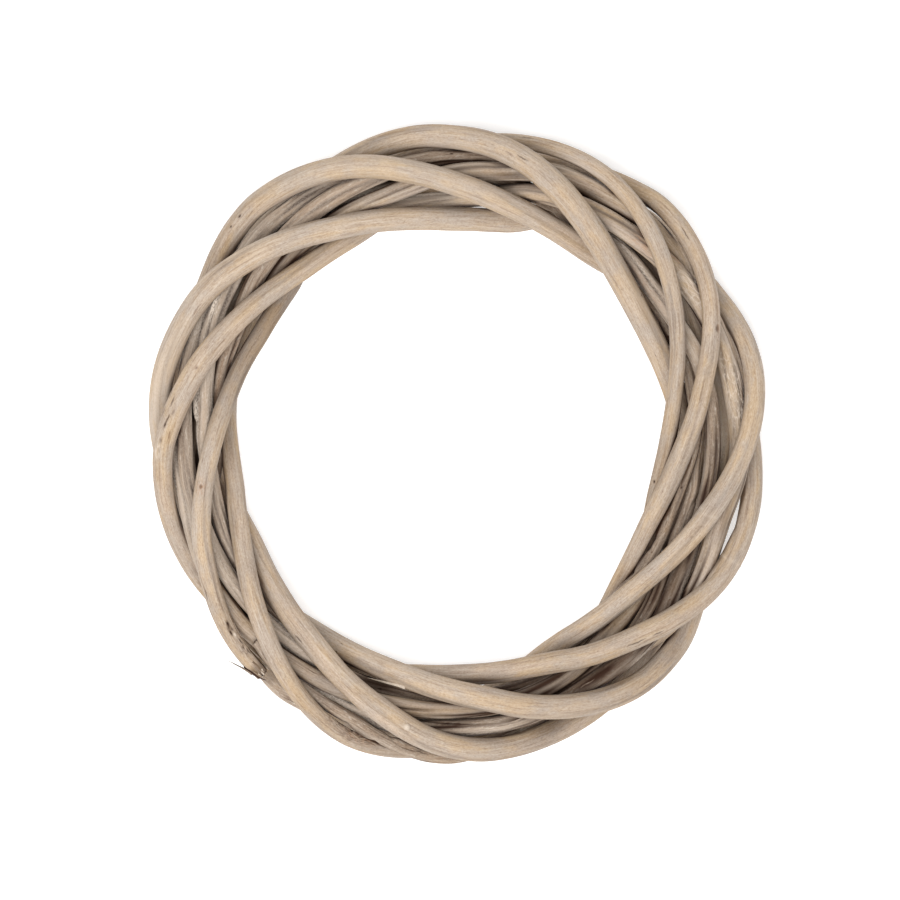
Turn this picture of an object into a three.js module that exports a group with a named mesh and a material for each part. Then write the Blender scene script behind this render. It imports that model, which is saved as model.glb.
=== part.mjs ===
import * as THREE from 'three';

// A rattan wreath: peeled rattan rods wound round each other into a closed ring, lying on a table.
// Millimetres and degrees. The ring's axis is Z, and its face is the side seen from +Z.
//
// Inner rods make the bundle's middle. The outer rods are wound round them the other way, so that
// on the ring's face they climb from the hole to the rim as the angle grows, and cross the inner
// rods. Every rod is a solid of its own, from its cut butt to its cut or torn end.

// Driving dimensions
const RING_STEP = 5; // degrees from one ring of a rod's surface to the next
const SIDES = 8; // sides of a rod's section
const CLEARANCE = 0.35; // air left between two rods that touch
const TABLE = -19.4; // height of the table under the ring's middle plane
const PRESSED_FLAT = 0.2; // depth of the flats that the weight presses into the lowest rods
const END_BEVEL = 0.6; // length of the worn edge round a cut end
const END_NARROWING = 0.82; // width of a cut end against the rod behind it

// How easily a rod gives way to its neighbours, radially on the face, radially behind, and in height
const OUTER_GIVE = { face: 0.06, back: 0.6, height: 1 };
const INNER_GIVE = { face: 0.45, back: 0.8, height: 1 };
const THIN_GIVE = { face: 0.25, back: 1, height: 1.4 };
const SILHOUETTE_DEPTH = 4; // how far under the middle plane a rod still makes the face's outline

// Winding: rounds of settling, and what each round does to a rod that was pushed off its route
const LOOSE_ROUNDS = 500;
const TIGHT_ROUNDS = 260;
const SPRING_BACK = 0.02; // share of the way back to its route
const STIFFNESS = 0.35; // share by which a kink evens out

// Colours of the dry wood
const PALE = 0xcdbb9f;
const TAN = 0xc4ad8a;
const GREY = 0xb3a491;
const BROWN = 0xa8937a;

// Routes. A point is [angle round the ring, distance from its axis, height over its middle plane,
// thickness of the rod].

// The thickest rod starts under the torn end and crosses the face four times.
const THICK_ROD = {
  name: 'outer_rod_thick',
  colour: PALE,
  give: OUTER_GIVE,
  route: [
    [210, 110.6, 1, 7.2], [220, 112.4, 2.5, 7.6], [226, 113.8, 3, 7.8], [231, 116.4, 1, 7.8],
    [236, 117.6, -4, 7.8], [243, 116.5, -9, 8], [251, 116.4, -13, 8.2], [262, 114.6, -15, 8.3],
    [272, 105, -15, 8.4], [279, 99.8, -14, 8.4], [285, 96.4, -12.5, 8.5], [291, 92.6, -9, 8.6],
    [297, 90.4, -4.5, 8.7], [303, 89.9, 0, 8.8], [315, 91, 5.5, 8.8], [325, 93.8, 9.5, 8.8],
    [335, 98.9, 13, 8.9], [345, 105.3, 15, 9], [355, 112.8, 14, 9], [365, 119.6, 10, 8.9],
    [372, 122.8, 5, 8.7], [378, 123.8, 0, 8.5], [385, 122.5, -5, 8.6], [393, 119.9, -9.5, 8.8],
    [402, 118.8, -13.5, 9], [410, 118.8, -15, 9.2], [418, 112.8, -15, 9.4],
    [426, 103.6, -13.5, 9.6], [432, 96, -11, 9.7], [437, 93.4, -8, 9.7], [443, 92.2, -4.5, 9.7],
    [450, 91.4, 0, 9.8], [460, 92.6, 5.5, 9.8], [470, 95.5, 10.5, 9.8], [480, 99.6, 13.5, 10],
    [490, 105.6, 15, 10], [500, 111.6, 13, 10.2], [507, 115.2, 10, 10.2], [515, 117, 6, 9.6],
    [525, 117.6, 0, 9.4], [533, 116.3, -6, 9.4], [545, 112.3, -12, 9.6], [558, 107, -15, 9.8],
    [572, 100.5, -14.5, 10], [586, 95.5, -11, 10], [597, 93.3, -6, 10], [607, 92.9, 0, 9.8],
    [617, 93.8, 6, 9.8], [627, 96.8, 10.5, 9.9], [637, 101.2, 14, 10.2], [647, 108.2, 15, 10.5],
    [657, 114.6, 11.5, 10.4], [664, 118, 6.5, 10], [671, 119, 0, 9.8], [680, 116.4, -7, 10],
    [692, 109.8, -13, 10.2], [704, 104, -15.5, 10.2], [717, 98.4, -13.5, 10.2],
    [727, 93.6, -10, 10.2], [736, 91.6, -5.5, 10.2], [745, 90.8, 0, 10.2], [756, 91.6, 5.5, 10.1],
    [767, 95.4, 11, 10.4], [777, 102, 14.5, 10.8], [787, 110, 15, 11], [795, 116.4, 12, 10.8],
    [803, 120.8, 8, 10.6], [811, 122.8, 3, 10.2], [817, 123.3, 0, 9.9], [825, 121.7, -5, 9.9],
    [833, 119.4, -9.5, 9.9], [843, 117.2, -13.5, 9.8], [853, 115.4, -15.5, 9.6],
    [860, 113.6, -15.5, 9.4],
  ],
};

// The longest rod crosses the face six times.
const LONG_ROD = {
  name: 'outer_rod_long',
  colour: TAN,
  give: OUTER_GIVE,
  route: [
    [140, 98, -15, 7.4], [150, 95.2, -13.5, 7.6], [160, 94, -11.5, 7.8], [171, 92.2, -8.5, 8],
    [180, 90.5, -4.5, 8], [189, 89.2, 0, 8], [197, 90.4, 5.5, 8], [206, 93.5, 9.5, 8.2],
    [215, 98.7, 13.5, 8.4], [225, 105.6, 15, 8.2], [235, 113.7, 13.5, 7.8], [243, 119.6, 9.5, 7.4],
    [249, 122.8, 5, 7.2], [255, 123.8, 0, 7], [262, 122.6, -5.5, 7], [270, 119, -10, 7.2],
    [278, 116, -13.5, 7.3], [286, 112, -15, 7.4], [298, 101.5, -15, 7.6], [311, 92.2, -11, 7.8],
    [320, 87.4, -6, 7.8], [330, 85, 0, 7.8], [340, 85, 4, 8], [349, 87.4, 8, 8.4],
    [357, 90.8, 11, 8.8], [366, 96.8, 13.5, 8.4], [375, 104, 15, 7.8], [384, 112.8, 14, 7.6],
    [392, 119.8, 11, 7.6], [400, 124.6, 6.5, 7.6], [409, 127.1, 0, 7.8], [417, 125, -6, 7.9],
    [427, 121.8, -11, 8], [437, 117.5, -14.5, 8], [448, 111, -15.4, 8.2], [460, 103, -13.5, 8.4],
    [471, 97.2, -8.5, 8.7], [482, 94.5, 0, 8.8], [492, 94.4, 5, 8.8], [502, 97, 10, 8.8],
    [512, 101, 14, 9.2], [522, 106, 15, 9.6], [532, 111, 13, 9.6], [540, 114.9, 8.5, 8.8],
    [551, 116.2, 0, 8.2], [562, 115, -6, 8.2], [575, 111, -11.5, 8.4], [588, 104.5, -14.5, 8.7],
    [602, 98.5, -14, 9], [617, 93.8, -8.5, 9.1], [631, 91.7, 0, 9.1], [642, 92.3, 5, 9.1],
    [653, 94.4, 9.5, 9.1], [663, 99.6, 13, 9.2], [673, 105, 15, 9.3], [683, 112.2, 14, 9.3],
    [692, 118.2, 9.5, 9], [699, 120.6, 5, 9], [708, 121.2, 0, 9], [716, 119.9, -6, 9],
    [724, 118.2, -10, 8.9], [734, 116.8, -13.5, 9.2], [744, 115.6, -15, 9.5],
    [754, 108.5, -15, 9.7], [764, 100, -11, 9.8], [771, 96.3, -5.5, 9.8], [778, 95.6, 0, 9.8],
    [788, 96.8, 5, 9.8], [798, 99.4, 10, 10], [809, 104.4, 14, 10.2], [820, 111.4, 15, 10],
    [829, 117.6, 12, 9.8], [838, 121.6, 7, 9.8], [849, 123.2, 0, 9.7], [857, 120.8, -7, 9.7],
    [864, 117.2, -11, 9.8], [872, 114.6, -13.5, 9.8], [881, 113.8, -15, 9.9], [890, 112, -15, 9.9],
    [898, 105.5, -14, 9.9], [907, 98, -10.5, 9.9], [916, 93, -6, 9.9], [925, 90.4, 0, 9.8],
    [935, 91.1, 4.5, 9.8], [945, 93.4, 9, 9.9], [955, 96.9, 12, 9.8], [965, 102.7, 14.5, 9.4],
    [975, 109.4, 15, 10.6], [985, 117, 11, 10.4], [993, 121, 6, 10.2], [1000, 122.1, 0, 10],
    [1009, 121.2, -6.5, 10], [1020, 118.5, -11, 9.9], [1032, 114, -14, 9.6], [1045, 107, -15, 9.2],
  ],
};

// The rod with the torn end crosses the face once and ends on its second way up to the rim.
const TORN_ROD = {
  name: 'outer_rod_torn',
  colour: PALE,
  give: OUTER_GIVE,
  route: [
    [305, 107, -14, 6], [318, 98.5, -14, 6.2], [331, 89.5, -9.5, 6.5], [340, 84.2, -5, 6.6],
    [348, 83.2, 0, 7], [357, 84.5, 4.5, 7.2], [366, 87.4, 8.5, 7.2], [375, 91.8, 12, 7],
    [385, 98.8, 14.5, 7], [395, 106.6, 15, 7.2], [404, 113.9, 13.5, 7.8], [413, 120.2, 10, 7],
    [421, 124.2, 5, 6.8], [429, 125.4, 0, 6.7], [437, 124.6, -4.5, 6.6], [448, 121.5, -9.5, 6.7],
    [460, 117.6, -13.5, 7], [473, 108.5, -15, 7.3], [486, 98, -12, 7.5], [495, 91.6, -8, 7.6],
    [503, 89.8, -3.5, 7.6], [510, 89.3, 0, 7.6], [520, 90.6, 5, 7.6], [530, 92.6, 9, 7.8],
    [540, 96.1, 12.5, 7.9], [550, 101, 14.5, 8.1], [560, 106.7, 15, 8.4], [569, 110.8, 14.5, 8],
    [577, 114.8, 13.5, 7.4], [584, 117.4, 12.5, 6.8], [590, 118.4, 11.5, 6.4],
  ],
};

// Two thin rods are wound in the same way, under the others.
const THIN_ROD_AT_RIM = {
  name: 'thin_rod_rim',
  colour: GREY,
  give: THIN_GIVE,
  route: [
    [225, 111, 7.5, 4.6], [234, 114.8, 7.5, 5], [242, 116.8, 7.5, 5.2], [250, 119, 7, 5.3],
    [257, 122.4, 4.5, 5.3], [265, 125.4, 0.5, 5.3], [271, 125.2, -3, 5.3], [277, 122, -7, 5.2],
    [286, 117, -10.5, 5.2], [298, 108, -13, 5], [305, 102, -12.5, 4.8],
  ],
};
const THIN_ROD_AT_HOLE = {
  name: 'thin_rod_hole',
  colour: GREY,
  give: THIN_GIVE,
  route: [
    [295, 100, -10, 5], [307, 93, -6.5, 5.2], [318, 89.2, -2, 5.4], [326, 89.6, -1.5, 5.4],
    [336, 89.2, -1.5, 5.4], [346, 90.4, 0.5, 5.4], [355, 92.8, 2.5, 5.3], [364, 95.4, 2.5, 5.2],
    [373, 95.6, -2, 5.2], [385, 94.8, -7.5, 5.2], [396, 95.2, -8.5, 5.2], [405, 97, -9, 4.8],
  ],
};

// The inner rods wind the other way: over the face they go from the rim to the hole.
const INNER_ROD_FIRST = {
  name: 'inner_rod_first',
  colour: TAN,
  give: INNER_GIVE,
  route: [
    [305, 105, -6.5, 8.4], [312, 109.5, -4, 8.4], [320, 112, 0.5, 8.4], [330, 110.8, 5, 8.4],
    [342, 109, 6, 8.4], [350, 111.6, 6, 8.8], [358, 115, 5, 9], [370, 116, 4, 9.4],
    [390, 115.4, 5, 9.2], [407, 111.6, 6.5, 8.4], [420, 108.8, 6.5, 8.2], [432, 104.6, 6, 8],
    [442, 97.8, -4, 8], [450, 95.8, -7, 8], [462, 96.8, -7, 8], [475, 99, -6.5, 8],
    [490, 102, -6.5, 8], [505, 105.5, -7, 8], [525, 109.5, -6, 8], [545, 109.5, -3, 8],
    [562, 109.5, 1.5, 7.8], [580, 109.5, 4.5, 7.6], [596, 108, 6, 7.4], [615, 106.8, 6.5, 7.4],
    [632, 106.6, 6.5, 7.6], [645, 106.2, 6.5, 7.6], [656, 104.6, 6, 7.8], [664, 101.5, 4.5, 7.8],
    [673, 98, 2, 7.8], [683, 97, -2, 7.8], [700, 101, -6, 7.8], [720, 107.2, -7, 8],
    [740, 107.2, -6, 8.2], [750, 109.8, -4, 8.4], [758, 116, 0, 8.8], [768, 118, 4, 9.4],
    [778, 117.8, 6, 9.4], [789, 116.6, 6.5, 9], [800, 112, 6.5, 8.2], [808, 110.4, 6.5, 8],
    [817, 106.2, 6.5, 7.8], [825, 102.8, 6, 7.6], [838, 99.8, 4.5, 7.4], [850, 97.6, 1.5, 7.4],
    [862, 97.4, -2.5, 7.2], [878, 100.5, -6, 7.2], [896, 105.5, -7, 7], [915, 109.5, -6, 6.8],
  ],
};
const INNER_ROD_SECOND = {
  name: 'inner_rod_second',
  colour: GREY,
  give: INNER_GIVE,
  route: [
    [215, 107, -4.5, 7], [224, 108.5, -2.5, 7], [234, 111.5, -0.5, 7], [243, 113.5, 2, 7],
    [252, 114.5, 4.5, 7.2], [262, 115, 6, 7.6], [272, 114.4, 6.5, 7.6], [282, 113.8, 6.5, 7.6],
    [292, 112.4, 6.5, 7.8], [306, 111, 6.5, 8.2], [318, 109.5, 4.5, 8], [330, 106.4, 2.5, 7.4],
    [342, 105.2, 2, 7], [352, 104.8, 4, 6.8], [358, 104.6, 5.5, 6.8], [370, 104.4, 6.5, 6.8],
    [381, 103.6, 6.5, 7], [391, 101.2, 6, 7.4], [400, 100.4, 5, 7.6], [410, 101.5, 3, 7.6],
    [420, 101.2, -0.5, 7.8], [430, 103.6, -3.5, 7.6], [440, 107.5, -5.5, 7.8],
    [455, 110.5, -6.5, 8], [465, 113.5, -4, 8], [473, 115.5, 0, 8], [482, 116.6, 4, 8],
    [492, 116, 5.5, 8], [503, 112, 6.5, 8], [512, 109.2, 6.5, 8], [522, 104.8, 6.5, 7.8],
    [530, 101.6, 6, 7.6], [538, 99.8, 5, 7.4], [548, 98.2, 4, 7.2], [558, 98.4, 3.5, 7],
    [568, 99.6, 2.5, 6.8], [578, 100.5, 0, 6.6], [590, 101, -4, 6.4], [605, 103, -6.5, 6],
  ],
};
const INNER_ROD_THIRD = {
  name: 'inner_rod_third',
  colour: BROWN,
  give: INNER_GIVE,
  route: [
    [35, 104, -6.5, 7.6], [50, 108.5, -6, 7.8], [64, 112.5, -4, 7.8], [76, 115, -0.5, 7.8],
    [84, 116.5, 2.5, 7.8], [92, 116, 5, 7.8], [100, 114.6, 6.5, 8], [108, 112.8, 6.5, 8],
    [120, 110.2, 6.5, 8.2], [130, 107.2, 6.5, 8], [140, 103.6, 6.5, 7.6], [150, 98.8, 5.5, 7.4],
    [160, 97, 3, 7.2], [172, 96.5, -1, 7.2], [184, 97, -5.5, 7.2], [200, 102, -7, 7.2],
    [216, 106, -7, 7.2], [232, 110.5, -6, 7.2], [246, 113, -4, 7.2], [258, 113.5, -2, 7.2],
    [270, 111.5, -1.5, 7], [284, 108, -1.5, 7], [298, 104.5, -0.5, 7], [310, 102.5, 2, 7],
    [320, 101.8, 4, 7], [330, 98.4, -2, 7], [340, 96, -5, 7], [350, 97, -5.5, 7],
    [357, 96.4, -5.5, 6.8], [364, 98.5, -5.5, 6.4], [375, 101.5, -6.5, 6],
  ],
};
const INNER_ROD_FOURTH = {
  name: 'inner_rod_fourth',
  colour: GREY,
  give: INNER_GIVE,
  route: [
    [100, 106.5, -8, 7.4], [108, 107.5, -8, 7.4], [118, 109, -7, 7.6], [132, 113, -4, 7.8],
    [144, 115.5, 0, 7.8], [152, 116, 3, 7.8], [160, 115.5, 5.5, 7.8], [168, 113.8, 6.5, 7.6],
    [178, 110.8, 6.5, 7.4], [187, 109.2, 6.5, 7], [197, 107.2, 6.5, 7], [212, 105.6, 6.5, 7],
    [222, 104, 6, 6.8], [232, 102.2, 4.5, 6.8], [242, 100.6, 2, 6.8], [254, 100, -1.5, 6.8],
    [268, 101, -6, 6.6], [284, 100, -7.5, 6.6], [295, 100, -8, 6.4],
  ],
};

const RODS = [
  THICK_ROD, LONG_ROD, TORN_ROD, THIN_ROD_AT_RIM, THIN_ROD_AT_HOLE,
  INNER_ROD_FIRST, INNER_ROD_SECOND, INNER_ROD_THIRD, INNER_ROD_FOURTH,
];

const radians = THREE.MathUtils.degToRad;
const clamp = THREE.MathUtils.clamp;

// A smooth curve through a route's points, with the angle as its parameter
function routeAt(route, angle) {
  const last = route.length - 1;
  let i = 0;
  while (i < last - 1 && route[i + 1][0] < angle) i += 1;
  const slope = (k, column) => {
    const [before, after] = [route[Math.max(k - 1, 0)], route[Math.min(k + 1, last)]];
    return (after[column] - before[column]) / (after[0] - before[0]);
  };
  const span = route[i + 1][0] - route[i][0];
  const t = (angle - route[i][0]) / span;
  const value = (column) => {
    const [a, b] = [route[i][column], route[i + 1][column]];
    const [ma, mb] = [slope(i, column) * span, slope(i + 1, column) * span];
    const [c2, c3] = [3 * (b - a) - 2 * ma - mb, 2 * (a - b) + ma + mb];
    return a + t * (ma + t * (c2 + t * c3));
  };
  return { radius: value(1), height: value(2), thickness: value(3) };
}

// The rod as a row of knots, one for every ring of its surface
function layRod(rod) {
  const knots = [];
  const end = rod.route[rod.route.length - 1][0];
  for (let angle = rod.route[0][0]; angle <= end; angle += RING_STEP) {
    const { radius, height, thickness } = routeAt(rod.route, angle);
    const { face, back, height: heightGive } = rod.give;
    knots.push({
      angle,
      out: new THREE.Vector2(Math.cos(radians(angle)), Math.sin(radians(angle))),
      route: { radius, height },
      radius,
      height,
      girth: thickness / 2,
      give: { radius: height > -SILHOUETTE_DEPTH ? face : back, height: heightGive },
    });
  }
  return knots;
}

const placeOf = ({ out, radius, height }) => new THREE.Vector3(out.x * radius, out.y * radius, height);

// Pairs of rod stretches that lie side by side somewhere round the ring
function neighbouringStretches(laidRods) {
  const stationCount = 360 / RING_STEP;
  const stations = Array.from({ length: stationCount }, () => []);
  laidRods.forEach((knots, rod) => {
    for (let i = 0; i + 1 < knots.length; i += 1) {
      const station = Math.round(knots[i].angle / RING_STEP) % stationCount;
      stations[station].push({ rod, i, from: knots[i], to: knots[i + 1] });
    }
  });
  const pairs = [];
  const addPair = (a, b) => {
    const sameStretch = a.rod === b.rod && Math.abs(a.i - b.i) < 3;
    if (!sameStretch) pairs.push([a, b]);
  };
  stations.forEach((here, s) => {
    here.forEach((a, k) => here.slice(k + 1).forEach((b) => addPair(a, b)));
    here.forEach((a) => stations[(s + 1) % stationCount].forEach((b) => addPair(a, b)));
  });
  return pairs;
}

// Closest points of two straight stretches: how far along each they lie, and the way from b to a
function closestPoints(a, b) {
  const [p, q] = [placeOf(a.from), placeOf(b.from)];
  const [u, v] = [placeOf(a.to).sub(p), placeOf(b.to).sub(q)];
  const w = new THREE.Vector3().subVectors(p, q);
  const [uu, uv, vv, uw, vw] = [u.dot(u), u.dot(v), v.dot(v), u.dot(w), v.dot(w)];
  const det = uu * vv - uv * uv;
  let s = det > 1e-9 * uu * vv ? clamp((uv * vw - vv * uw) / det, 0, 1) : 0.5;
  const t = clamp((uv * s + vw) / vv, 0, 1);
  s = clamp((uv * t - uw) / uu, 0, 1);
  const apart = w.addScaledVector(u, s).addScaledVector(v, -t);
  return { s, t, apart };
}

const girthAt = (stretch, share) => stretch.from.girth * (1 - share) + stretch.to.girth * share;

// The air between two stretches
function airBetween(a, b) {
  const { s, t, apart } = closestPoints(a, b);
  return { s, t, apart, air: apart.length() - girthAt(a, s) - girthAt(b, t) };
}

// Push two stretches apart until they leave the clearance between them
function separate(a, b) {
  const reach = a.from.girth + b.from.girth + 2;
  if (Math.abs(a.from.radius - b.from.radius) > 2 * reach) return;
  if (Math.abs(a.from.height - b.from.height) > 2 * reach) return;
  const { s, t, apart, air } = airBetween(a, b);
  if (air >= CLEARANCE) return;
  apart.normalize();
  const ends = [[a.from, 1 - s], [a.to, s], [b.from, t - 1], [b.to, -t]];
  let give = 0;
  const moves = ends.map(([knot, share]) => {
    const outward = share * (apart.x * knot.out.x + apart.y * knot.out.y);
    const upward = share * apart.z;
    give += knot.give.radius * outward ** 2 + knot.give.height * upward ** 2;
    return [knot, knot.give.radius * outward, knot.give.height * upward];
  });
  const push = (CLEARANCE - air) / Math.max(give, 1e-6);
  for (const [knot, outward, upward] of moves) {
    knot.radius += push * outward;
    knot.height += push * upward;
  }
}

// Even out the kinks that pushing left in a rod, and let it spring back towards its route
function straighten(knots, springBack) {
  for (const key of ['radius', 'height']) {
    const off = knots.map((knot) => knot[key] - knot.route[key]);
    knots.forEach((knot, i) => {
      const around = ((off[i - 1] ?? off[i]) + (off[i + 1] ?? off[i])) / 2;
      const evened = off[i] + STIFFNESS * (around - off[i]);
      knot[key] = knot.route[key] + evened * (1 - springBack);
    });
  }
}

// No rod sinks into the table. A section has a flat side below, which lies on it.
const flatSide = Math.cos(Math.PI / SIDES);
function layOnTable(knots) {
  for (const knot of knots) knot.height = Math.max(knot.height, TABLE + flatSide * knot.girth);
}

// Wind the rods: they settle round each other until none of them cuts into another
function windRods(laidRods) {
  const pairs = neighbouringStretches(laidRods);
  for (let round = 0; round < LOOSE_ROUNDS + TIGHT_ROUNDS; round += 1) {
    const loose = round < LOOSE_ROUNDS;
    const springBack = loose ? SPRING_BACK : 0;
    if (loose || round % 20 === 0) laidRods.forEach((knots) => straighten(knots, springBack));
    for (const [a, b] of pairs) separate(a, b);
    laidRods.forEach(layOnTable);
  }
  for (const [a, b] of pairs) {
    if (airBetween(a, b).air < CLEARANCE / 2) {
      throw new Error(`rods ${a.rod} and ${b.rod} touch at ${a.from.angle} degrees`);
    }
  }
}

// One ring of a rod's surface, square to the rod, with flat sides above and below
function sectionRing(centre, along, girth) {
  const side = new THREE.Vector3(0, 0, 1).cross(along).normalize();
  const up = new THREE.Vector3().crossVectors(along, side).normalize();
  return Array.from({ length: SIDES }, (_, k) => {
    const turn = ((k + 0.5) * 2 * Math.PI) / SIDES;
    const spot = centre.clone();
    spot.addScaledVector(side, girth * Math.cos(turn)).addScaledVector(up, girth * Math.sin(turn));
    if (spot.z < TABLE + PRESSED_FLAT) spot.z = TABLE;
    return spot;
  });
}

// A rod's closed surface: its rings, a bevelled edge at each end, and the two end faces
function rodGeometry(knots) {
  const places = knots.map(placeOf);
  const last = places.length - 1;
  const along = places.map((_, i) => {
    const [before, after] = [places[Math.max(i - 1, 0)], places[Math.min(i + 1, last)]];
    return after.clone().sub(before).normalize();
  });
  const rings = places.map((place, i) => sectionRing(place, along[i], knots[i].girth));
  const endRing = (i, bevel) => {
    const tip = places[i].clone().addScaledVector(along[i], bevel);
    return sectionRing(tip, along[i], knots[i].girth * END_NARROWING);
  };
  rings.unshift(endRing(0, -END_BEVEL));
  rings.push(endRing(last, END_BEVEL));

  const corners = rings.flat();
  const faces = [];
  for (let ring = 0; ring + 1 < rings.length; ring += 1) {
    for (let k = 0; k < SIDES; k += 1) {
      const [a, b] = [ring * SIDES + k, ring * SIDES + ((k + 1) % SIDES)];
      faces.push(a, b, a + SIDES, b, b + SIDES, a + SIDES);
    }
  }
  const lastRing = (rings.length - 1) * SIDES;
  for (let k = 1; k + 1 < SIDES; k += 1) {
    faces.push(0, k + 1, k, lastRing, lastRing + k, lastRing + k + 1);
  }
  const geometry = new THREE.BufferGeometry().setFromPoints(corners);
  geometry.setIndex(faces);
  geometry.computeVertexNormals();
  return geometry;
}

const laidRods = RODS.map(layRod);
windRods(laidRods);

const wreath = new THREE.Group();
wreath.name = 'rattan_wreath';
RODS.forEach((rod, i) => {
  const material = new THREE.MeshStandardMaterial({ color: rod.colour, roughness: 0.75, metalness: 0 });
  const mesh = new THREE.Mesh(rodGeometry(laidRods[i]), material);
  mesh.name = rod.name;
  wreath.add(mesh);
});

// Stand the wreath on the table, with its box centred on the origin
const box = new THREE.Box3().setFromObject(wreath);
const middle = box.getCenter(new THREE.Vector3());
wreath.position.set(-middle.x, -middle.y, -box.min.z);

export default wreath;
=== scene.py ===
"""A rattan wreath, dressed for the camera.

Nine long rods are wound into one ring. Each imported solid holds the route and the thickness
of one rod. Here every rod is turned as a straight bar, carved with its furrows, knots,
cracks and loose fibres, and then wound along that route. The rods wear dry, peeled rattan,
and they lie on a plain pale floor under soft light.
"""

import logging
import math
import random
from collections.abc import Callable
from dataclasses import dataclass, field
from enum import Enum

import bmesh
import bpy
import numpy as np
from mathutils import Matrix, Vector, noise
from mathutils.bvhtree import BVHTree


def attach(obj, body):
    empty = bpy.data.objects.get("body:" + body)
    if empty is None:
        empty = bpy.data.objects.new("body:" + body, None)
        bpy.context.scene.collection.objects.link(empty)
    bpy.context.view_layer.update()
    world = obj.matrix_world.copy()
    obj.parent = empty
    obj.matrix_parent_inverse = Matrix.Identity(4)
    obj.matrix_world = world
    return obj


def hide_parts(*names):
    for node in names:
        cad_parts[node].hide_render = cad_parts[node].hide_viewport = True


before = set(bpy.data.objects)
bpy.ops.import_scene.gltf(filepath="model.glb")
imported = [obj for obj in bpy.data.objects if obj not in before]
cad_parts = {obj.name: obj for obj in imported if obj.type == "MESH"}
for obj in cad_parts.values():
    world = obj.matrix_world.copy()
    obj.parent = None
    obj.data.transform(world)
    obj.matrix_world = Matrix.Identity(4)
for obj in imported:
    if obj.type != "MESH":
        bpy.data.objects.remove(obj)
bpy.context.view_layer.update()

# Short names for two types
Colour = tuple[int, int, int]
Socket = bpy.types.NodeSocket

logging.basicConfig(level=logging.INFO, format="%(message)s")
LOG = logging.getLogger("wreath")

MILLIMETRE = 0.001

# The ring's own centre, from which turns and reaches are counted, in metres
RING_CENTRE = Vector((-1.43, -0.64, 0.0)) * MILLIMETRE
# Degrees of turn between two sections of a solid rod
SECTION_STEP = 5.0
# A round bar this much slimmer than the solid's corners has the solid's outline
ROUND_FIT = 0.958
# How far the grain is raised, in metres
RELIEF = 0.35 * MILLIMETRE
# Vertices closer than this are one vertex
WELD = 1e-6
# Faces lie in one plane where the cosine between them is more than this
FLAT = 0.99999

# Names of what each rod's surface carries for its finish
GRAIN = "grain"
MARKS = "marks"
SHELTER = "shelter"
# The one map that the rod's surface is laid out flat in
SURFACE_MAP = "OFBake"


# What a rod's surface can show
class Tone(Enum):
    """The colour that a mark leaves on the rod, as shares of dark, pale and warm."""

    PLAIN = (0.0, 0.0, 0.0)
    DARK = (1.0, 0.0, 0.0)
    DUSKY = (0.55, 0.0, 0.1)
    BROWN = (0.55, 0.0, 0.35)
    ORANGE = (0.0, 0.0, 0.7)
    PALE = (0.0, 1.0, 0.0)


class Shape(Enum):
    """What a mark does to the rod's surface."""

    DENT = "dent"
    BUMP = "bump"
    KNOT = "knot"
    CRACK = "crack"
    RING = "ring"
    BARK = "bark"
    # Colour only, no depth: the dark ones are painted shade and the pale ones painted light
    TINT = "tint"


@dataclass(frozen=True)
class Mark:
    """A knot, crack or other trace at one place on a rod's face.

    Attributes:
        shape: What it does to the surface.
        turn: Degrees counterclockwise round the ring, along the rod's own winding.
        reach: Millimetres from the ring's centre.
        length: Millimetres along the rod.
        width: Millimetres round the rod.
        depth: Millimetres into the rod, out of it for a bump, and the share of the colour for
            painted shade and light.
        tone: The colour that it leaves.
        lie: Degrees from the rod's face, where a mark isn't placed by its reach.
    """

    shape: Shape
    turn: float
    reach: float = 0.0
    length: float = 2.0
    width: float = 1.2
    depth: float = 0.2
    tone: Tone = Tone.DARK
    lie: float | None = None


@dataclass(frozen=True)
class Fibre:
    """A thin fibre or strip of skin that has come loose along a rod.

    Attributes:
        turn: The turn in degrees at which its root lies.
        lie: Degrees from the rod's face at its root, positive towards the rim.
        length: Millimetres along the rod, negative where it points back.
        width: Its width at the root in millimetres.
        lift: Millimetres that it stands off at its tip, or halfway where both ends hold.
        drift: Millimetres that it strays round the rod.
        tone: The colour that it shows.
        held: Whether both of its ends hold to the rod.
    """

    turn: float
    lie: float
    length: float = 12.0
    width: float = 0.5
    lift: float = 0.5
    drift: float = 0.0
    tone: Tone = Tone.PLAIN
    held: bool = False


@dataclass(frozen=True)
class StainAndShade:
    """A length of a rod darker, paler or warmer than the rest all round, as stains and as painted
    shade and light.

    Attributes:
        turn: The turn in degrees of its middle.
        length: Its length in degrees.
        tone: The colour that it leans to.
        share: How strongly it leans there.
    """

    turn: float
    length: float
    tone: Tone
    share: float


# The finishes
class Grain(Enum):
    """A pattern along the rods: repeats in a metre across and along, detail and shift."""

    HAIR = (2300.0, 110.0, 4.0, 0.0)
    VEIN = (1000.0, 42.0, 3.0, 3.1)
    BAND = (260.0, 20.0, 2.0, 7.7)
    PATCH = (150.0, 60.0, 5.0, 11.3)
    DASH = (1700.0, 240.0, 2.0, 17.9)
    FLAKE = (900.0, 300.0, 5.0, 23.3)
    SPECK = (1900.0, 900.0, 2.0, 31.7)
    GRIT = (2600.0, 1000.0, 3.0, 41.9)


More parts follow.
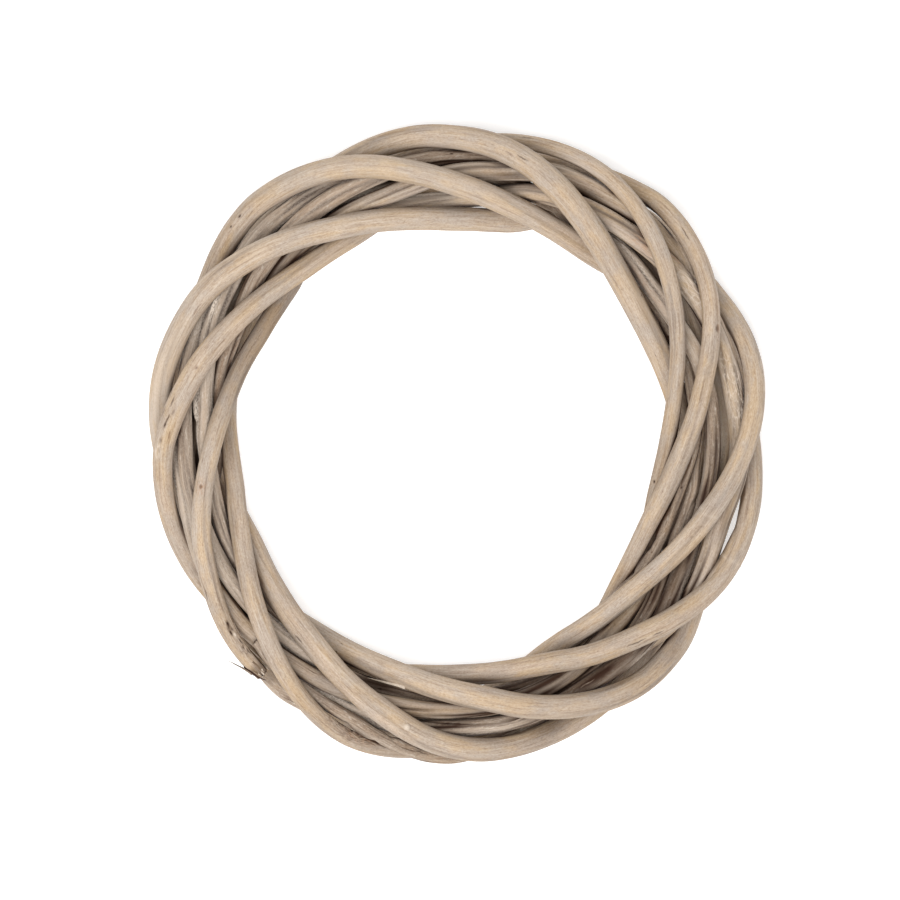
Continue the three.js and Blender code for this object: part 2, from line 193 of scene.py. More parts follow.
@dataclass(frozen=True)
class RattanFinish:
    """How one kind of dry rattan looks.

    Colours are sRGB values from 0 to 255, and the shares run from 0 to 1.

    Attributes:
        slot: The material slot that it belongs to.
        crest: The colour of most of the rod.
        warm: The colour of its warmer bands.
        grey: The colour of its greyer patches.
        streak: The dark colour of its grain.
        dirt_and_shade: The colour of dirt and of painted shade where rods shelter each other.
        painted_deep_shade: The colour of painted shade where rods shelter each other most.
        wash: The pale colour of its raised grain.
        scar_and_shade: The colour of a dark mark and of painted shade.
        amber: The colour of a warm mark.
        bared_and_painted_light: The colour of a pale mark and of painted light.
        greyness: How much of it is grey.
        washed: How much of it is flaked pale.
        streaked: How strongly the grain shows.
        gritty: How strongly its specks show.
        dirt_and_shade_strength: How strongly the dirt and painted shade show.
        roughness: How matt it is.
        relief: How strongly the grain is raised.
    """

    slot: str
    crest: Colour
    warm: Colour
    grey: Colour
    streak: Colour
    dirt_and_shade: Colour
    painted_deep_shade: Colour = (30, 16, 8)
    wash: Colour = (197, 186, 172)
    scar_and_shade: Colour = (46, 27, 16)
    amber: Colour = (156, 110, 72)
    bared_and_painted_light: Colour = (208, 195, 180)
    greyness: float = 0.4
    washed: float = 0.1
    streaked: float = 0.62
    gritty: float = 0.42
    dirt_and_shade_strength: float = 0.87
    roughness: float = 0.7
    relief: float = 0.35


# Each finish's dirt colour is also the painted shade between the rods
PALE_RATTAN = RattanFinish(
    slot="pale_rattan", crest=(174, 156, 137), warm=(175, 152, 125), grey=(163, 151, 140),
    streak=(114, 92, 71), dirt_and_shade=(64, 37, 19), greyness=0.42, washed=0.0,
)
TAN_RATTAN = RattanFinish(
    slot="tan_rattan", crest=(171, 152, 133), warm=(171, 148, 120), grey=(158, 145, 133),
    streak=(110, 88, 67), dirt_and_shade=(64, 37, 19), greyness=0.45, washed=0.0,
)
GREY_RATTAN = RattanFinish(
    slot="grey_rattan", crest=(157, 138, 120), warm=(156, 133, 110), grey=(152, 136, 121),
    streak=(88, 70, 55), dirt_and_shade=(58, 34, 18), greyness=0.5, washed=0.35, streaked=0.8,
    gritty=0.5, relief=0.8,
)
BROWN_RATTAN = RattanFinish(
    slot="brown_rattan", crest=(156, 136, 117), warm=(155, 128, 102), grey=(147, 129, 113),
    streak=(86, 67, 52), dirt_and_shade=(56, 33, 17), greyness=0.45, washed=0.25, streaked=0.8,
    gritty=0.5, relief=0.7,
)


def linear(colour: Colour) -> tuple[float, float, float, float]:
    """Turn a colour into the shaders' own scale.

    Args:
        colour: Its sRGB values from 0 to 255.

    Returns:
        Its linear values, with a full fourth part.
    """
    parts = []
    for value in colour:
        share = value / 255
        low = share <= 0.04045
        parts.append(share / 12.92 if low else ((share + 0.055) / 1.055) ** 2.4)
    return (*parts, 1.0)


class Shader:
    """A material's nodes, put together step by step."""

    def __init__(self, name: str) -> None:
        """Start an empty material.

        Args:
            name: The material's name.
        """
        self.material = bpy.data.materials.new(name)
        self.material.use_nodes = True
        self.tree = self.material.node_tree
        self.tree.nodes.clear()
        self.surface = self.tree.nodes.new("ShaderNodeBsdfPrincipled")
        output = self.tree.nodes.new("ShaderNodeOutputMaterial")
        self.tree.links.new(self.surface.outputs["BSDF"], output.inputs["Surface"])

    def attribute(self, name: str, part: str) -> Socket:
        """Read one of the piece's own attributes.

        Args:
            name: The attribute's name.
            part: Its number, its vector or its colour.

        Returns:
            What the piece carries under that name.
        """
        node = self.tree.nodes.new("ShaderNodeAttribute")
        node.attribute_name = name
        return node.outputs[part]

    def channels(self, colour: Socket) -> list[Socket]:
        """Split a colour.

        Args:
            colour: The colour to split.

        Returns:
            Its three parts.
        """
        node = self.tree.nodes.new("ShaderNodeSeparateColor")
        self.tree.links.new(colour, node.inputs["Color"])
        return [node.outputs[index] for index in range(3)]

    def grain(self, place: Socket, kind: Grain) -> Socket:
        """Lay a noise along the rod.

        Args:
            place: The spot on the straight rod.
            kind: The pattern that is wanted.

        Returns:
            A value from 0 to 1.
        """
        across, along, detail, shift = kind.value
        mapping = self.tree.nodes.new("ShaderNodeMapping")
        mapping.inputs["Scale"].default_value = (across, across, along)
        mapping.inputs["Location"].default_value = (shift, shift, shift)
        self.tree.links.new(place, mapping.inputs["Vector"])
        node = self.tree.nodes.new("ShaderNodeTexNoise")
        node.inputs["Scale"].default_value = 1.0
        node.inputs["Detail"].default_value = detail
        node.inputs["Roughness"].default_value = 0.6
        self.tree.links.new(mapping.outputs["Vector"], node.inputs["Vector"])
        return node.outputs["Fac"]

    def between(self, value: Socket, low: float, high: float,
                least: float = 0.0, most: float = 1.0) -> Socket:
        """Spread a value between two limits smoothly.

        Args:
            value: The value to spread.
            low: Where the result is at its least.
            high: Where the result is at its most.
            least: The least result.
            most: The most that the result may be.

        Returns:
            The spread value.
        """
        node = self.tree.nodes.new("ShaderNodeMapRange")
        node.interpolation_type = "SMOOTHSTEP"
        node.inputs["From Min"].default_value = low
        node.inputs["From Max"].default_value = high
        node.inputs["To Min"].default_value = least
        node.inputs["To Max"].default_value = most
        self.tree.links.new(value, node.inputs["Value"])
        return node.outputs["Result"]

    def sums(self, operation: str, first: Socket, second: Socket | float) -> Socket:
        """Work out a sum or product of two values.

        Args:
            operation: The name of the sum.
            first: The first value.
            second: The second value, as a socket or a number.

        Returns:
            The result.
        """
        node = self.tree.nodes.new("ShaderNodeMath")
        node.operation = operation
        self.tree.links.new(first, node.inputs[0])
        if isinstance(second, float):
            node.inputs[1].default_value = second
        else:
            self.tree.links.new(second, node.inputs[1])
        return node.outputs["Value"]

    def tinted(self, base: Socket | Colour, colour: Colour, share: Socket) -> Socket:
        """Mix a colour into another.

        Args:
            base: The colour underneath, as a socket or as sRGB values.
            colour: The sRGB colour that goes over it.
            share: How much of it shows.

        Returns:
            The mixed colour.
        """
        node = self.tree.nodes.new("ShaderNodeMix")
        node.data_type = "RGBA"
        if isinstance(base, tuple):
            node.inputs[6].default_value = linear(base)
        else:
            self.tree.links.new(base, node.inputs[6])
        node.inputs[7].default_value = linear(colour)
        self.tree.links.new(share, node.inputs["Factor"])
        return node.outputs[2]

    def relief(self, height: Socket, strength: float, distance: float) -> None:
        """Raise the surface.

        Args:
            height: How high each spot is, from 0 up.
            strength: How strongly it is raised.
            distance: How far in metres a height of 1 is raised.
        """
        node = self.tree.nodes.new("ShaderNodeBump")
        node.inputs["Strength"].default_value = strength
        node.inputs["Distance"].default_value = distance
        self.tree.links.new(height, node.inputs["Height"])
        self.tree.links.new(node.outputs["Normal"], self.surface.inputs["Normal"])

    def feed(self, socket: str, value: Socket) -> None:
        """Lead a value into one of the surface's sockets."""
        self.tree.links.new(value, self.surface.inputs[socket])


def rattan(finish: RattanFinish) -> bpy.types.Material:
    """Make the material of one kind of rattan.

    Args:
        finish: Its colours and shares.

    Returns:
        The material, which reads the rod's own attributes.
    """
    shader = Shader(finish.slot + "_finish")
    place = shader.attribute(GRAIN, "Vector")
    shelter = shader.attribute(SHELTER, "Fac")
    dark, pale, warm = shader.channels(shader.attribute(MARKS, "Color"))

    hair, vein, band, patch, dash, flake, speck, grit = (
        shader.grain(place, kind) for kind in Grain)

    colour = shader.tinted(finish.crest, finish.warm, shader.between(band, 0.40, 0.62))
    grey = shader.between(patch, 0.5 - 0.25 * finish.greyness, 0.72 - 0.2 * finish.greyness,
                          most=0.8)
    colour = shader.tinted(colour, finish.grey, grey)
    for lines, most in (
            (vein, finish.streaked), (hair, 1.1 * finish.streaked), (speck, finish.gritty)):
        colour = shader.tinted(colour, finish.streak, shader.between(lines, 0.5, 0.8, most=most))
    colour = shader.tinted(
        colour, finish.streak, shader.between(grit, 0.5, 0.72, most=0.8 * finish.gritty))
    for lines, most in (
            (hair, 0.6 * finish.streaked), (vein, 0.4 * finish.streaked),
            (grit, 0.8 * finish.gritty), (speck, 0.5 * finish.gritty)):
        colour = shader.tinted(colour, finish.wash, shader.between(lines, 0.47, 0.25, most=most))
    if finish.washed:
        colour = shader.tinted(colour, finish.wash, shader.between(
            flake, 0.62 - 0.14 * finish.washed, 0.7, most=0.6))
    # Dirt and painted shade, darker where nearby rods fill more of the view from a spot
    dirt_and_shade_mask = shader.between(shelter, 0.46, 0.86, most=finish.dirt_and_shade_strength)
    colour = shader.tinted(colour, finish.dirt_and_shade, dirt_and_shade_mask)
    # Deeper painted shade where the rods shelter each other most
    painted_deep_shade = shader.between(shelter, 0.72, 0.9, most=0.85)
    colour = shader.tinted(colour, finish.painted_deep_shade, painted_deep_shade)
    colour = shader.tinted(colour, finish.dirt_and_shade, shader.between(dash, 0.71, 0.78, most=0.6))
    # The dark and pale shares of the marks carry painted shade and painted light as well as real
    # marks
    colour = shader.tinted(colour, finish.amber, shader.sums("MULTIPLY", warm, 0.85))
    colour = shader.tinted(colour, finish.scar_and_shade, dark)
    pale = shader.sums("MULTIPLY", pale, shader.between(grit, 0.38, 0.6, least=0.35))
    colour = shader.tinted(colour, finish.bared_and_painted_light, pale)
    shader.feed("Base Color", colour)

    sheen = shader.between(patch, 0.3, 0.7, finish.roughness - 0.06, finish.roughness + 0.1)
    shader.feed("Roughness", sheen)
    shader.surface.inputs["IOR"].default_value = 1.45
    shader.surface.inputs["Specular IOR Level"].default_value = 0.16

    height = shader.sums("ADD", vein, hair)
    for lines, share in ((flake, 0.6), (grit, 0.3)):
        height = shader.sums("ADD", height, shader.sums("MULTIPLY", lines, share))
    shader.relief(height, finish.relief, RELIEF)
    return shader.material


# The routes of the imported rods
def rings_of(solid: bpy.types.Object) -> list[np.ndarray]:
    """Read the sections of a solid rod from one end to the other.

    The solid's end is the one flat face with the most corners, and each next section is
    what its corners are joined to.

    Args:
        solid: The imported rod.

    Returns:
        One array of corners for each section.
    """
    mesh = bmesh.new()
    mesh.from_mesh(solid.data)
    bmesh.ops.remove_doubles(mesh, verts=mesh.verts, dist=WELD)
    last = walk_rings({next(iter(mesh.verts))})[-1]
    caps = [flat_corners(face) for vertex in last for face in vertex.link_faces]
    rings = walk_rings(max(caps, key=len))
    places = [np.array([vertex.co[:] for vertex in ring]) for ring in rings]
    mesh.free()
    return places


def walk_rings(start: set[bmesh.types.BMVert]) -> list[set[bmesh.types.BMVert]]:
    """Group a mesh's vertices by how many edges they are away from some of them.

    Args:
        start: The vertices from which the rest are counted.

    Returns:
        The vertices at each count.
    """
    rings, seen = [start], set(start)
    while True:
        near = {edge.other_vert(vertex) for vertex in rings[-1] for edge in vertex.link_edges}
        near -= seen
        if not near:
            return rings
        rings.append(near)
        seen |= near


def flat_corners(face: bmesh.types.BMFace) -> set[bmesh.types.BMVert]:
    """Find the corners of the flat stretch that a triangle belongs to.

    Args:
        face: The triangle.

    Returns:
        All the corners that lie in its plane and are joined to it.
    """
    flat, fresh = {face}, [face]
    while fresh:
        for edge in fresh.pop().edges:
            for other in edge.link_faces:
                if other not in flat and other.normal.dot(face.normal) > FLAT:
                    flat.add(other)
                    fresh.append(other)
    return {vertex for part in flat for vertex in part.verts}


class Route:
    """The line along which one rod is wound, with the rod's radius on it."""

    # Steps from one section of the solid to the next
    FINE = 8
    # A mark lies no further from the face's middle than this share of the radius
    FURTHEST = 0.95

    def __init__(self, solid: bpy.types.Object, start_turn: float) -> None:
        """Read the route from a solid rod.

        Args:
            solid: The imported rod.
            start_turn: The turn in degrees at which the rod begins.
        """
        rings = rings_of(solid)
        centres = np.array([ring.mean(axis=0) for ring in rings])
        radii = np.array([
            np.linalg.norm(ring - centre, axis=1).mean() for ring, centre in zip(rings, centres)
        ])
        ring_centre = np.array(RING_CENTRE)
        counterclockwise = np.cross(centres[0] - ring_centre, centres[2] - ring_centre)[2] > 0
        if not counterclockwise:
            centres, radii = centres[::-1], radii[::-1]
        radii[0], radii[-1] = radii[1], radii[-2]
        turns = start_turn + SECTION_STEP * (np.arange(len(radii)) - 1.0)
        turns[0] = turns[1]
        turns[-1] = turns[-2]
        self.end_turn = float(turns[-1])
        knots = np.column_stack([centres, radii, turns])
        fine = smooth_through(knots, self.FINE)
        steps = np.linalg.norm(np.diff(fine[:, :3], axis=0), axis=1)
        self.stations = np.concatenate([[0.0], np.cumsum(steps)])
        self.centres, self.radii, self.turns = fine[:, :3], fine[:, 3], fine[:, 4]
        ahead = np.gradient(self.centres, self.stations, axis=0)
        self.tangents = ahead / np.linalg.norm(ahead, axis=1)[:, None]
        self.length = float(self.stations[-1])

    def along(self, values: np.ndarray, stations: np.ndarray) -> np.ndarray:
        """Read values that belong to the route at other stations.

        Args:
            values: One value or one row for each spot of the route.
            stations: How far along the rod, in metres.

        Returns:
            One value or one row for each station.
        """
        if values.ndim == 1:
            return np.interp(stations, self.stations, values)
        columns = [np.interp(stations, self.stations, column) for column in values.T]
        return np.column_stack(columns)

    def station(self, turn: float) -> float:
        """Find how far along the rod a turn in degrees lies."""
        return float(np.interp(turn, self.turns, self.stations))

    def frame_at(self, stations: np.ndarray) -> tuple[np.ndarray, np.ndarray, np.ndarray]:
        """Find how the rod lies at some stations.

        Args:
            stations: How far along the rod, in metres.

        Returns:
            The directions along the rod, out of its face and towards the rim.
        """
        ahead = self.along(self.tangents, stations)
        ahead /= np.linalg.norm(ahead, axis=1)[:, None]
        face = np.array([0.0, 0.0, 1.0]) - ahead * ahead[:, 2:3]
        face /= np.linalg.norm(face, axis=1)[:, None]
        return ahead, face, np.cross(ahead, face)

    def wind(self, straight: np.ndarray) -> np.ndarray:
        """Bend spots on the straight rod onto the route.

        Args:
            straight: Places with x towards the rim, y out of the face and z along the rod.

        Returns:
            The same spots on the wound rod, none below the floor.
        """
        stations = straight[:, 2]
        inside = np.clip(stations, 0.0, self.length)
        ahead, face, rim = self.frame_at(inside)
        wound = self.along(self.centres, inside) + ahead * (stations - inside)[:, None]
        wound += rim * straight[:, 0:1] + face * straight[:, 1:2]
        wound[:, 2] = np.maximum(wound[:, 2], 0.0)
        return wound

    def lie_of(self, mark: Mark) -> float:
        """Find where a mark lies round the rod.

        Args:
            mark: The mark, placed by its lie or by its reach.

        Returns:
            The angle in radians from the rod's face.
        """
        if mark.lie is not None:
            return math.radians(mark.lie)
        station = np.array([self.station(mark.turn)])
        centre = self.along(self.centres, station)[0] - np.array(RING_CENTRE)
        radius = float(self.along(self.radii, station)[0]) * ROUND_FIT
        off = (mark.reach * MILLIMETRE - math.hypot(centre[0], centre[1])) / radius
        return math.asin(max(-self.FURTHEST, min(self.FURTHEST, off)))


def smooth_through(knots: np.ndarray, fine: int) -> np.ndarray:
    """Draw a smooth line through knots, as a Catmull-Rom curve.

    Args:
        knots: One row for each knot.
        fine: Steps from one knot to the next.

    Returns:
        The rows of the finer line.
    """
    padded = np.vstack([2 * knots[0] - knots[1], knots, 2 * knots[-1] - knots[-2]])
    share = np.arange(fine)[:, None] / fine
    rows = []
    for before, here, there, after in zip(padded, padded[1:], padded[2:], padded[3:]):
        rows.append(0.5 * (
            2 * here + (there - before) * share
            + (2 * before - 5 * here + 4 * there - after) * share ** 2
            + (3 * here - before - 3 * there + after) * share ** 3
        ))
    return np.vstack([*rows, knots[-1:]])


# The carved and wound rods
class Wander:
    """A value that drifts gently along a rod, as a sum of slow waves."""

    def __init__(self, dice: random.Random, shortest: float, longest: float,
                 waves: int = 5) -> None:
        """Draw the waves.

        Args:
            dice: Where the random numbers come from.
            shortest: The shortest wave, in metres.
            longest: The longest wave, in metres.
            waves: How many there are.
        """
        self.waves = [
            (2 * math.pi / dice.uniform(shortest, longest), dice.uniform(0, 2 * math.pi))
            for _ in range(waves)
        ]

    def at(self, stations: np.ndarray) -> np.ndarray:
        """Read the drift, which stays between about -1 and 1."""
        total = sum(np.sin(stations * rate + phase) for rate, phase in self.waves)
        return total / math.sqrt(len(self.waves))


@dataclass(frozen=True)
class Carving:
    """How deeply a rod's surface is worked, with its lengths in millimetres.

    Attributes:
        furrows: How many furrows and ridges run along it.
        furrow_depth: The depth of a furrow.
        furrow_widths: The narrowest and the widest furrow.
        unevenness: How much the radius drifts, as a share.
        roughness: The height of its rough skin.
        furrow_darkness: How dark the bottom of a furrow is.
        pits: Small pits and dashes that lie anywhere on the rod.
        dash_share: How many of these are dashes, as a share.
        dash_lengths: The shortest and the longest dash.
        dash_widths: The narrowest and the widest dash.
        pit_lengths: The shortest and the longest pit.
        pit_widths: The narrowest and the widest pit.
        pit_depths: The shallowest and the deepest of both.
        fibres: Loose fibres that lift off it.
        fibre_lengths: The shortest and the longest fibre.
        fibre_widths: The narrowest and the widest fibre.
        fibre_lifts: How far the flattest and the highest fibre stand off.
        fibre_drifts: How far they stray to either side.
        held_share: How many of them hold to the rod at both ends, as a share.
    """

    furrows: int = 7
    furrow_depth: float = 0.2
    furrow_widths: tuple[float, float] = (0.5, 1.4)
    unevenness: float = 0.014
    roughness: float = 0.07
    furrow_darkness: float = 0.25
    pits: int = 14
    dash_share: float = 0.6
    dash_lengths: tuple[float, float] = (3, 9)
    dash_widths: tuple[float, float] = (0.25, 0.45)
    pit_lengths: tuple[float, float] = (0.7, 1.3)
    pit_widths: tuple[float, float] = (0.5, 0.9)
    pit_depths: tuple[float, float] = (0.1, 0.25)
    fibres: int = 5
    fibre_lengths: tuple[float, float] = (5, 20)
    fibre_widths: tuple[float, float] = (0.25, 0.8)
    fibre_lifts: tuple[float, float] = (0.1, 0.7)
    fibre_drifts: tuple[float, float] = (-0.7, 0.7)
    held_share: float = 0.4


WEATHERED = Carving(
    furrows=18, furrow_depth=0.34, furrow_widths=(0.35, 0.9), unevenness=0.02,
    roughness=0.14, furrow_darkness=0.6, pits=20, fibres=34,
)


@dataclass
class Rod:
    """One rod of the wreath.

    Attributes:
        node: The solid that it stands for.
        finish: What it is made to look like.
        start_turn: The turn in degrees at which it begins.
        seed: Where its random numbers begin.
        carving: How its surface is worked.
        marks: The knots, cracks and other traces on it.
        fibres: The loose fibres that have a place of their own.
        stains_and_shade: The lengths that are darker, paler or warmer: stains, and painted shade and
            light.
        sides: Faces round the rod.
        pace: Millimetres from one ring of faces to the next.
        torn: Whether its far end is torn off instead of cut.
        dice: Its own random numbers.
        route: The line along which it is wound.
        margin: The margin of its surface map, as a share of the map.
        cap_room: The share of that margin that its two ends take up.
    """

    node: str
    finish: RattanFinish
    start_turn: float
    seed: int
    carving: Carving = field(default_factory=Carving)
    marks: list[Mark] = field(default_factory=list)
    fibres: list[Fibre] = field(default_factory=list)
    stains_and_shade: list[StainAndShade] = field(default_factory=list)
    sides: int = 32
    pace: float = 1.0
    torn: bool = False
    dice: random.Random = field(init=False)
    route: Route = field(init=False)
    margin: float = field(init=False, default=0.0)
    cap_room: float = field(init=False, default=0.0)

    # The shortest and the longest wave in metres, of how the rod swells, how flat it is and
    # which way it is flat, and of how a furrow strays and deepens
    SWELL_WAVES = (0.03, 0.2)
    FLAT_WAVES = (0.1, 0.4)
    TURN_WAVES = (0.15, 0.5)
    STRAY_WAVES = (0.08, 0.4)
    DEEP_WAVES = (0.04, 0.2)
    # How far a furrow strays round the rod, in radians
    FURROW_STRAY = 0.5
    # One in so many furrows is a ridge, so high and so pale beside a furrow
    RIDGE_EVERY = 3
    RIDGE_HEIGHT = 0.6
    RIDGE_TONE = 0.2
    # How fine the rough skin is round the rod and along it, in patches to the metre
    SKIN_AROUND = 420
    SKIN_ALONG = 90
    # Edges flatter than this are shaded smooth
    SMOOTH_ANGLE = math.radians(40)
    # A cut end is rounded by this share of the radius, within so many millimetres
    END_ROUNDING = 0.16
    END_ROUND_LENGTH = 0.5
    # Rings of faces on a cut end, as insets into a bar of radius 1
    CAP_INSETS = (0.14, 0.3, 0.3)
    # A cut end's slant, its roughness in millimetres and in patches to the metre
    CUT_SLANT = 0.25
    CUT_ROUGHNESS = 0.18
    CUT_GRAIN = 900
    # How dark its core is, and how unevenly
    CORE_TONE = 0.35
    CORE_PATCHES = 0.15
    # Millimetres round a mark that are cut finer with it, and the cuts in each face
    REFINE_MARGIN = 0.8
    REFINE_CUTS = 3
    # The torn end: its length and its teeth in millimetres, and how much slimmer it is
    TEAR_LENGTH = 5.0
    TEAR_DEPTH = 2.6
    TEAR_NARROWING = 0.1
    # A fibre's faces and cuts, and how strong its colour is
    FIBRE_SIDES = 5
    FIBRE_CUTS = 9
    FIBRE_TONE = 0.93
    # How a fibre wavers, as a share of its length, slims to its tip, sinks and flattens
    FIBRE_WAVER = 0.018
    FIBRE_SLIMMING = 0.88
    FIBRE_SINK = 0.06
    FIBRE_FLATNESS = 0.45
    # How much of a row of the map the rod's skin takes up, to either side of its middle
    MAP_BREADTH = 0.47
    # The map's margin in radii of the rod, the room in it for both ends, and their scale
    MAP_MARGIN = 2.4
    CAP_ROOM = 2.1
    CAP_SCALE = 0.9

    def build(self, shelter_of: "Shelter") -> bpy.types.Object:
        """Make the rod and dress it.

        Args:
            shelter_of: Tells how deep inside the bundle a spot lies.

        Returns:
            The finished piece.
        """
        self.dice = random.Random(self.seed)
        self.route = Route(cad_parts[self.node], self.start_turn)
        self.marks = [*self.marks, *self.small_marks()]
        piece = self.turn_bar()
        self.refine_marks(piece)
        self.lay_map(piece)
        straight, marked = self.carve(piece)
        place(piece.data, straight)
        store(piece.data, MARKS, "FLOAT_COLOR", with_alpha(marked))
        self.add_fibres(piece)
        mesh = piece.data
        straight = places_of(mesh)
        store(mesh, GRAIN, "FLOAT_VECTOR", straight + np.array([0.0, 0.0, 3.0 * self.seed]))
        place(mesh, self.route.wind(straight))
        bpy.ops.object.shade_smooth_by_angle(angle=self.SMOOTH_ANGLE)
        store(mesh, SHELTER, "FLOAT", shelter_of.read(self.route, straight))
        mesh.materials.clear()
        mesh.materials.append(rattan(self.finish))
        piece.name = mesh.name = self.node + "_wound"
        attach(piece, "root")
        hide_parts(self.node)
        LOG.info("%s: %.0f mm long, %d faces", piece.name, self.route.length / MILLIMETRE,
                 len(mesh.polygons))
        return piece

    def small_marks(self) -> list[Mark]:
        """Scatter small pits and dashes over the whole rod.

        Returns:
            The marks that were made.
        """
        dice, carving = self.dice, self.carving
        made = []
        for _ in range(carving.pits):
            dash = dice.random() < carving.dash_share
            made.append(Mark(
                shape=Shape.CRACK if dash else Shape.DENT,
                turn=dice.uniform(self.start_turn, self.route.end_turn),
                lie=dice.uniform(-180, 180),
                length=dice.uniform(*(carving.dash_lengths if dash else carving.pit_lengths)),
                width=dice.uniform(*(carving.dash_widths if dash else carving.pit_widths)),
                depth=dice.uniform(*carving.pit_depths),
                tone=dice.choice([Tone.DARK, Tone.BROWN, Tone.PLAIN]),
            ))
        return made

    def loose_fibres(self) -> list[Fibre]:
        """Scatter loose fibres over the whole rod.

        Returns:
            The fibres with a place of their own, and then the scattered ones.
        """
        dice, carving = self.dice, self.carving
        made = list(self.fibres)
        for _ in range(carving.fibres):
            made.append(Fibre(
                turn=dice.uniform(self.start_turn, self.route.end_turn),
                lie=dice.uniform(-180, 180),
                length=dice.uniform(*carving.fibre_lengths) * dice.choice([-1, 1]),
                width=dice.uniform(*carving.fibre_widths),
                lift=dice.uniform(*carving.fibre_lifts),
                drift=dice.uniform(*carving.fibre_drifts),
                tone=dice.choice([Tone.PLAIN, Tone.PLAIN, Tone.PLAIN, Tone.BROWN]),
                held=dice.random() < carving.held_share,
            ))
        return made

    def add_fibres(self, piece: bpy.types.Object) -> None:
        """Model one straight fibre, and lay a copy of it along the rod for each loose one.

        Args:
            piece: The straight, carved rod, which the fibres become a part of.
        """
        fibres = self.loose_fibres()
        bpy.ops.object.select_all(action="DESELECT")
        bpy.ops.mesh.primitive_cylinder_add(
            vertices=self.FIBRE_SIDES, radius=0.5, depth=1.0, location=(0.0, 0.0, 0.0))
        model = bpy.context.object
        bpy.ops.object.mode_set(mode="EDIT")
        select_lengthwise(model)
        bpy.ops.mesh.subdivide(number_cuts=self.FIBRE_CUTS)
        bpy.ops.object.mode_set(mode="OBJECT")
        shape = places_of(model.data) + [0.0, 0.0, 0.5]
        faces = [tuple(face.vertices) for face in model.data.polygons]
        spots = [self.laid(fibre, shape) for fibre in fibres]
        tones = np.array([fibre.tone.value for fibre in fibres]) * self.FIBRE_TONE
        tones += self.stained_and_shaded(np.array([fibre.turn for fibre in fibres]))
        tones = np.repeat(np.clip(tones, 0.0, 1.0), len(shape), axis=0)
        copies = [
            tuple(index + number * len(shape) for index in face)
            for number in range(len(fibres)) for face in faces
        ]
        mesh = bpy.data.meshes.new("fibres")
        mesh.from_pydata(np.vstack(spots).tolist(), [], copies)
        store(mesh, MARKS, "FLOAT_COLOR", with_alpha(tones))
        self.lay_fibre_map(mesh, len(fibres), shape)
        bpy.data.objects.remove(model)
        bundle = bpy.data.objects.new("fibres", mesh)
        bpy.context.collection.objects.link(bundle)
        bundle.select_set(True)
        piece.select_set(True)
        bpy.context.view_layer.objects.active = piece
        bpy.ops.object.join()

    def laid(self, fibre: Fibre, shape: np.ndarray) -> np.ndarray:
        """Lay a copy of the straight fibre along the straight rod.

        Args:
            fibre: Where it lies and how it lifts.
            shape: The straight fibre, one metre long and wide, standing up.

        Returns:
            The copy's places on the straight rod.
        """
        share = shape[:, 2]
        station = self.route.station(fibre.turn) + fibre.length * MILLIMETRE * share
        radius = self.route.along(self.route.radii, np.clip(
            station, 0.0, self.route.length)) * ROUND_FIT
        if fibre.held:
            slim = np.sqrt(np.clip(np.sin(math.pi * share), 0.02, 1))
            lift = fibre.lift * np.sin(math.pi * share)
        else:
            slim = 1 - self.FIBRE_SLIMMING * share ** 1.6
            lift = fibre.lift * share ** 1.7
        width = fibre.width * MILLIMETRE * slim
        waver = self.FIBRE_WAVER * abs(fibre.length) * np.sin(share * 7 + fibre.turn)
        stray = (fibre.drift * share + waver) * MILLIMETRE
        lie = math.radians(fibre.lie) + (stray + shape[:, 0] * width) / radius
        out = radius + (lift - self.FIBRE_SINK) * MILLIMETRE
        out += self.FIBRE_FLATNESS * shape[:, 1] * width
        return np.column_stack([out * np.sin(lie), out * np.cos(lie), station])

    def turn_bar(self) -> bpy.types.Object:
        """Turn a straight round bar, as thick and long as the rod, cut into short rings.

        Returns:
            The bar, standing on its start.
        """
        bpy.ops.object.select_all(action="DESELECT")
        bpy.ops.mesh.primitive_cylinder_add(
            vertices=self.sides, radius=1.0, depth=1.0, end_fill_type="NGON",
            location=(0.0, 0.0, 0.0))
        piece = bpy.context.object
        bpy.ops.object.mode_set(mode="EDIT")
        for thickness in self.CAP_INSETS:
            select_faces(piece, lambda face: abs(face.normal.z) > 0.9 and len(face.verts) > 4)
            bpy.ops.mesh.inset(thickness=thickness)
        select_faces(piece, lambda face: len(face.verts) == self.sides)
        bpy.ops.mesh.poke()
        rings = self.route.length / (self.pace * MILLIMETRE)
        for cuts in (int(math.sqrt(rings)) - 1, round(rings / int(math.sqrt(rings))) - 1):
            select_lengthwise(piece)
            bpy.ops.mesh.subdivide(number_cuts=cuts)
        bpy.ops.object.mode_set(mode="OBJECT")
        bar = places_of(piece.data)
        radius = float(self.route.radii.mean())
        place(piece.data, (bar + [0.0, 0.0, 0.5]) * [radius, radius, self.route.length])
        return piece

    def refine_marks(self, piece: bpy.types.Object) -> None:
        """Cut the faces round each mark smaller, so that it can be carved.

        Args:
            piece: The straight bar.
        """
        bpy.ops.object.mode_set(mode="EDIT")
        mean = float(self.route.radii.mean())
        spots = []
        for mark in self.marks:
            if mark.shape in (Shape.RING, Shape.TINT):
                continue
            half = mark.length / 2 + self.REFINE_MARGIN
            wide = (mark.width / 2 + self.REFINE_MARGIN) * MILLIMETRE / mean
            spots.append((self.route.station(mark.turn), self.route.lie_of(mark),
                          half * MILLIMETRE, wide))
        spots = np.array(spots)

        def near_a_mark(face: bmesh.types.BMFace) -> bool:
            """Tell whether a face lies within one of the marks.

            Args:
                face: A face of the straight bar.

            Returns:
                True for a face on the skin that a mark reaches.
            """
            middle = face.calc_center_median()
            if abs(face.normal.z) > 0.5:
                return False
            lie = math.atan2(middle.x, middle.y)
            along = np.abs(spots[:, 0] - middle.z) < spots[:, 2]
            turned = np.abs((spots[:, 1] - lie + math.pi) % (2 * math.pi) - math.pi)
            return bool((along & (turned < spots[:, 3])).any())

        select_faces(piece, near_a_mark)
        bpy.ops.mesh.subdivide(number_cuts=self.REFINE_CUTS)
        bpy.ops.object.mode_set(mode="OBJECT")

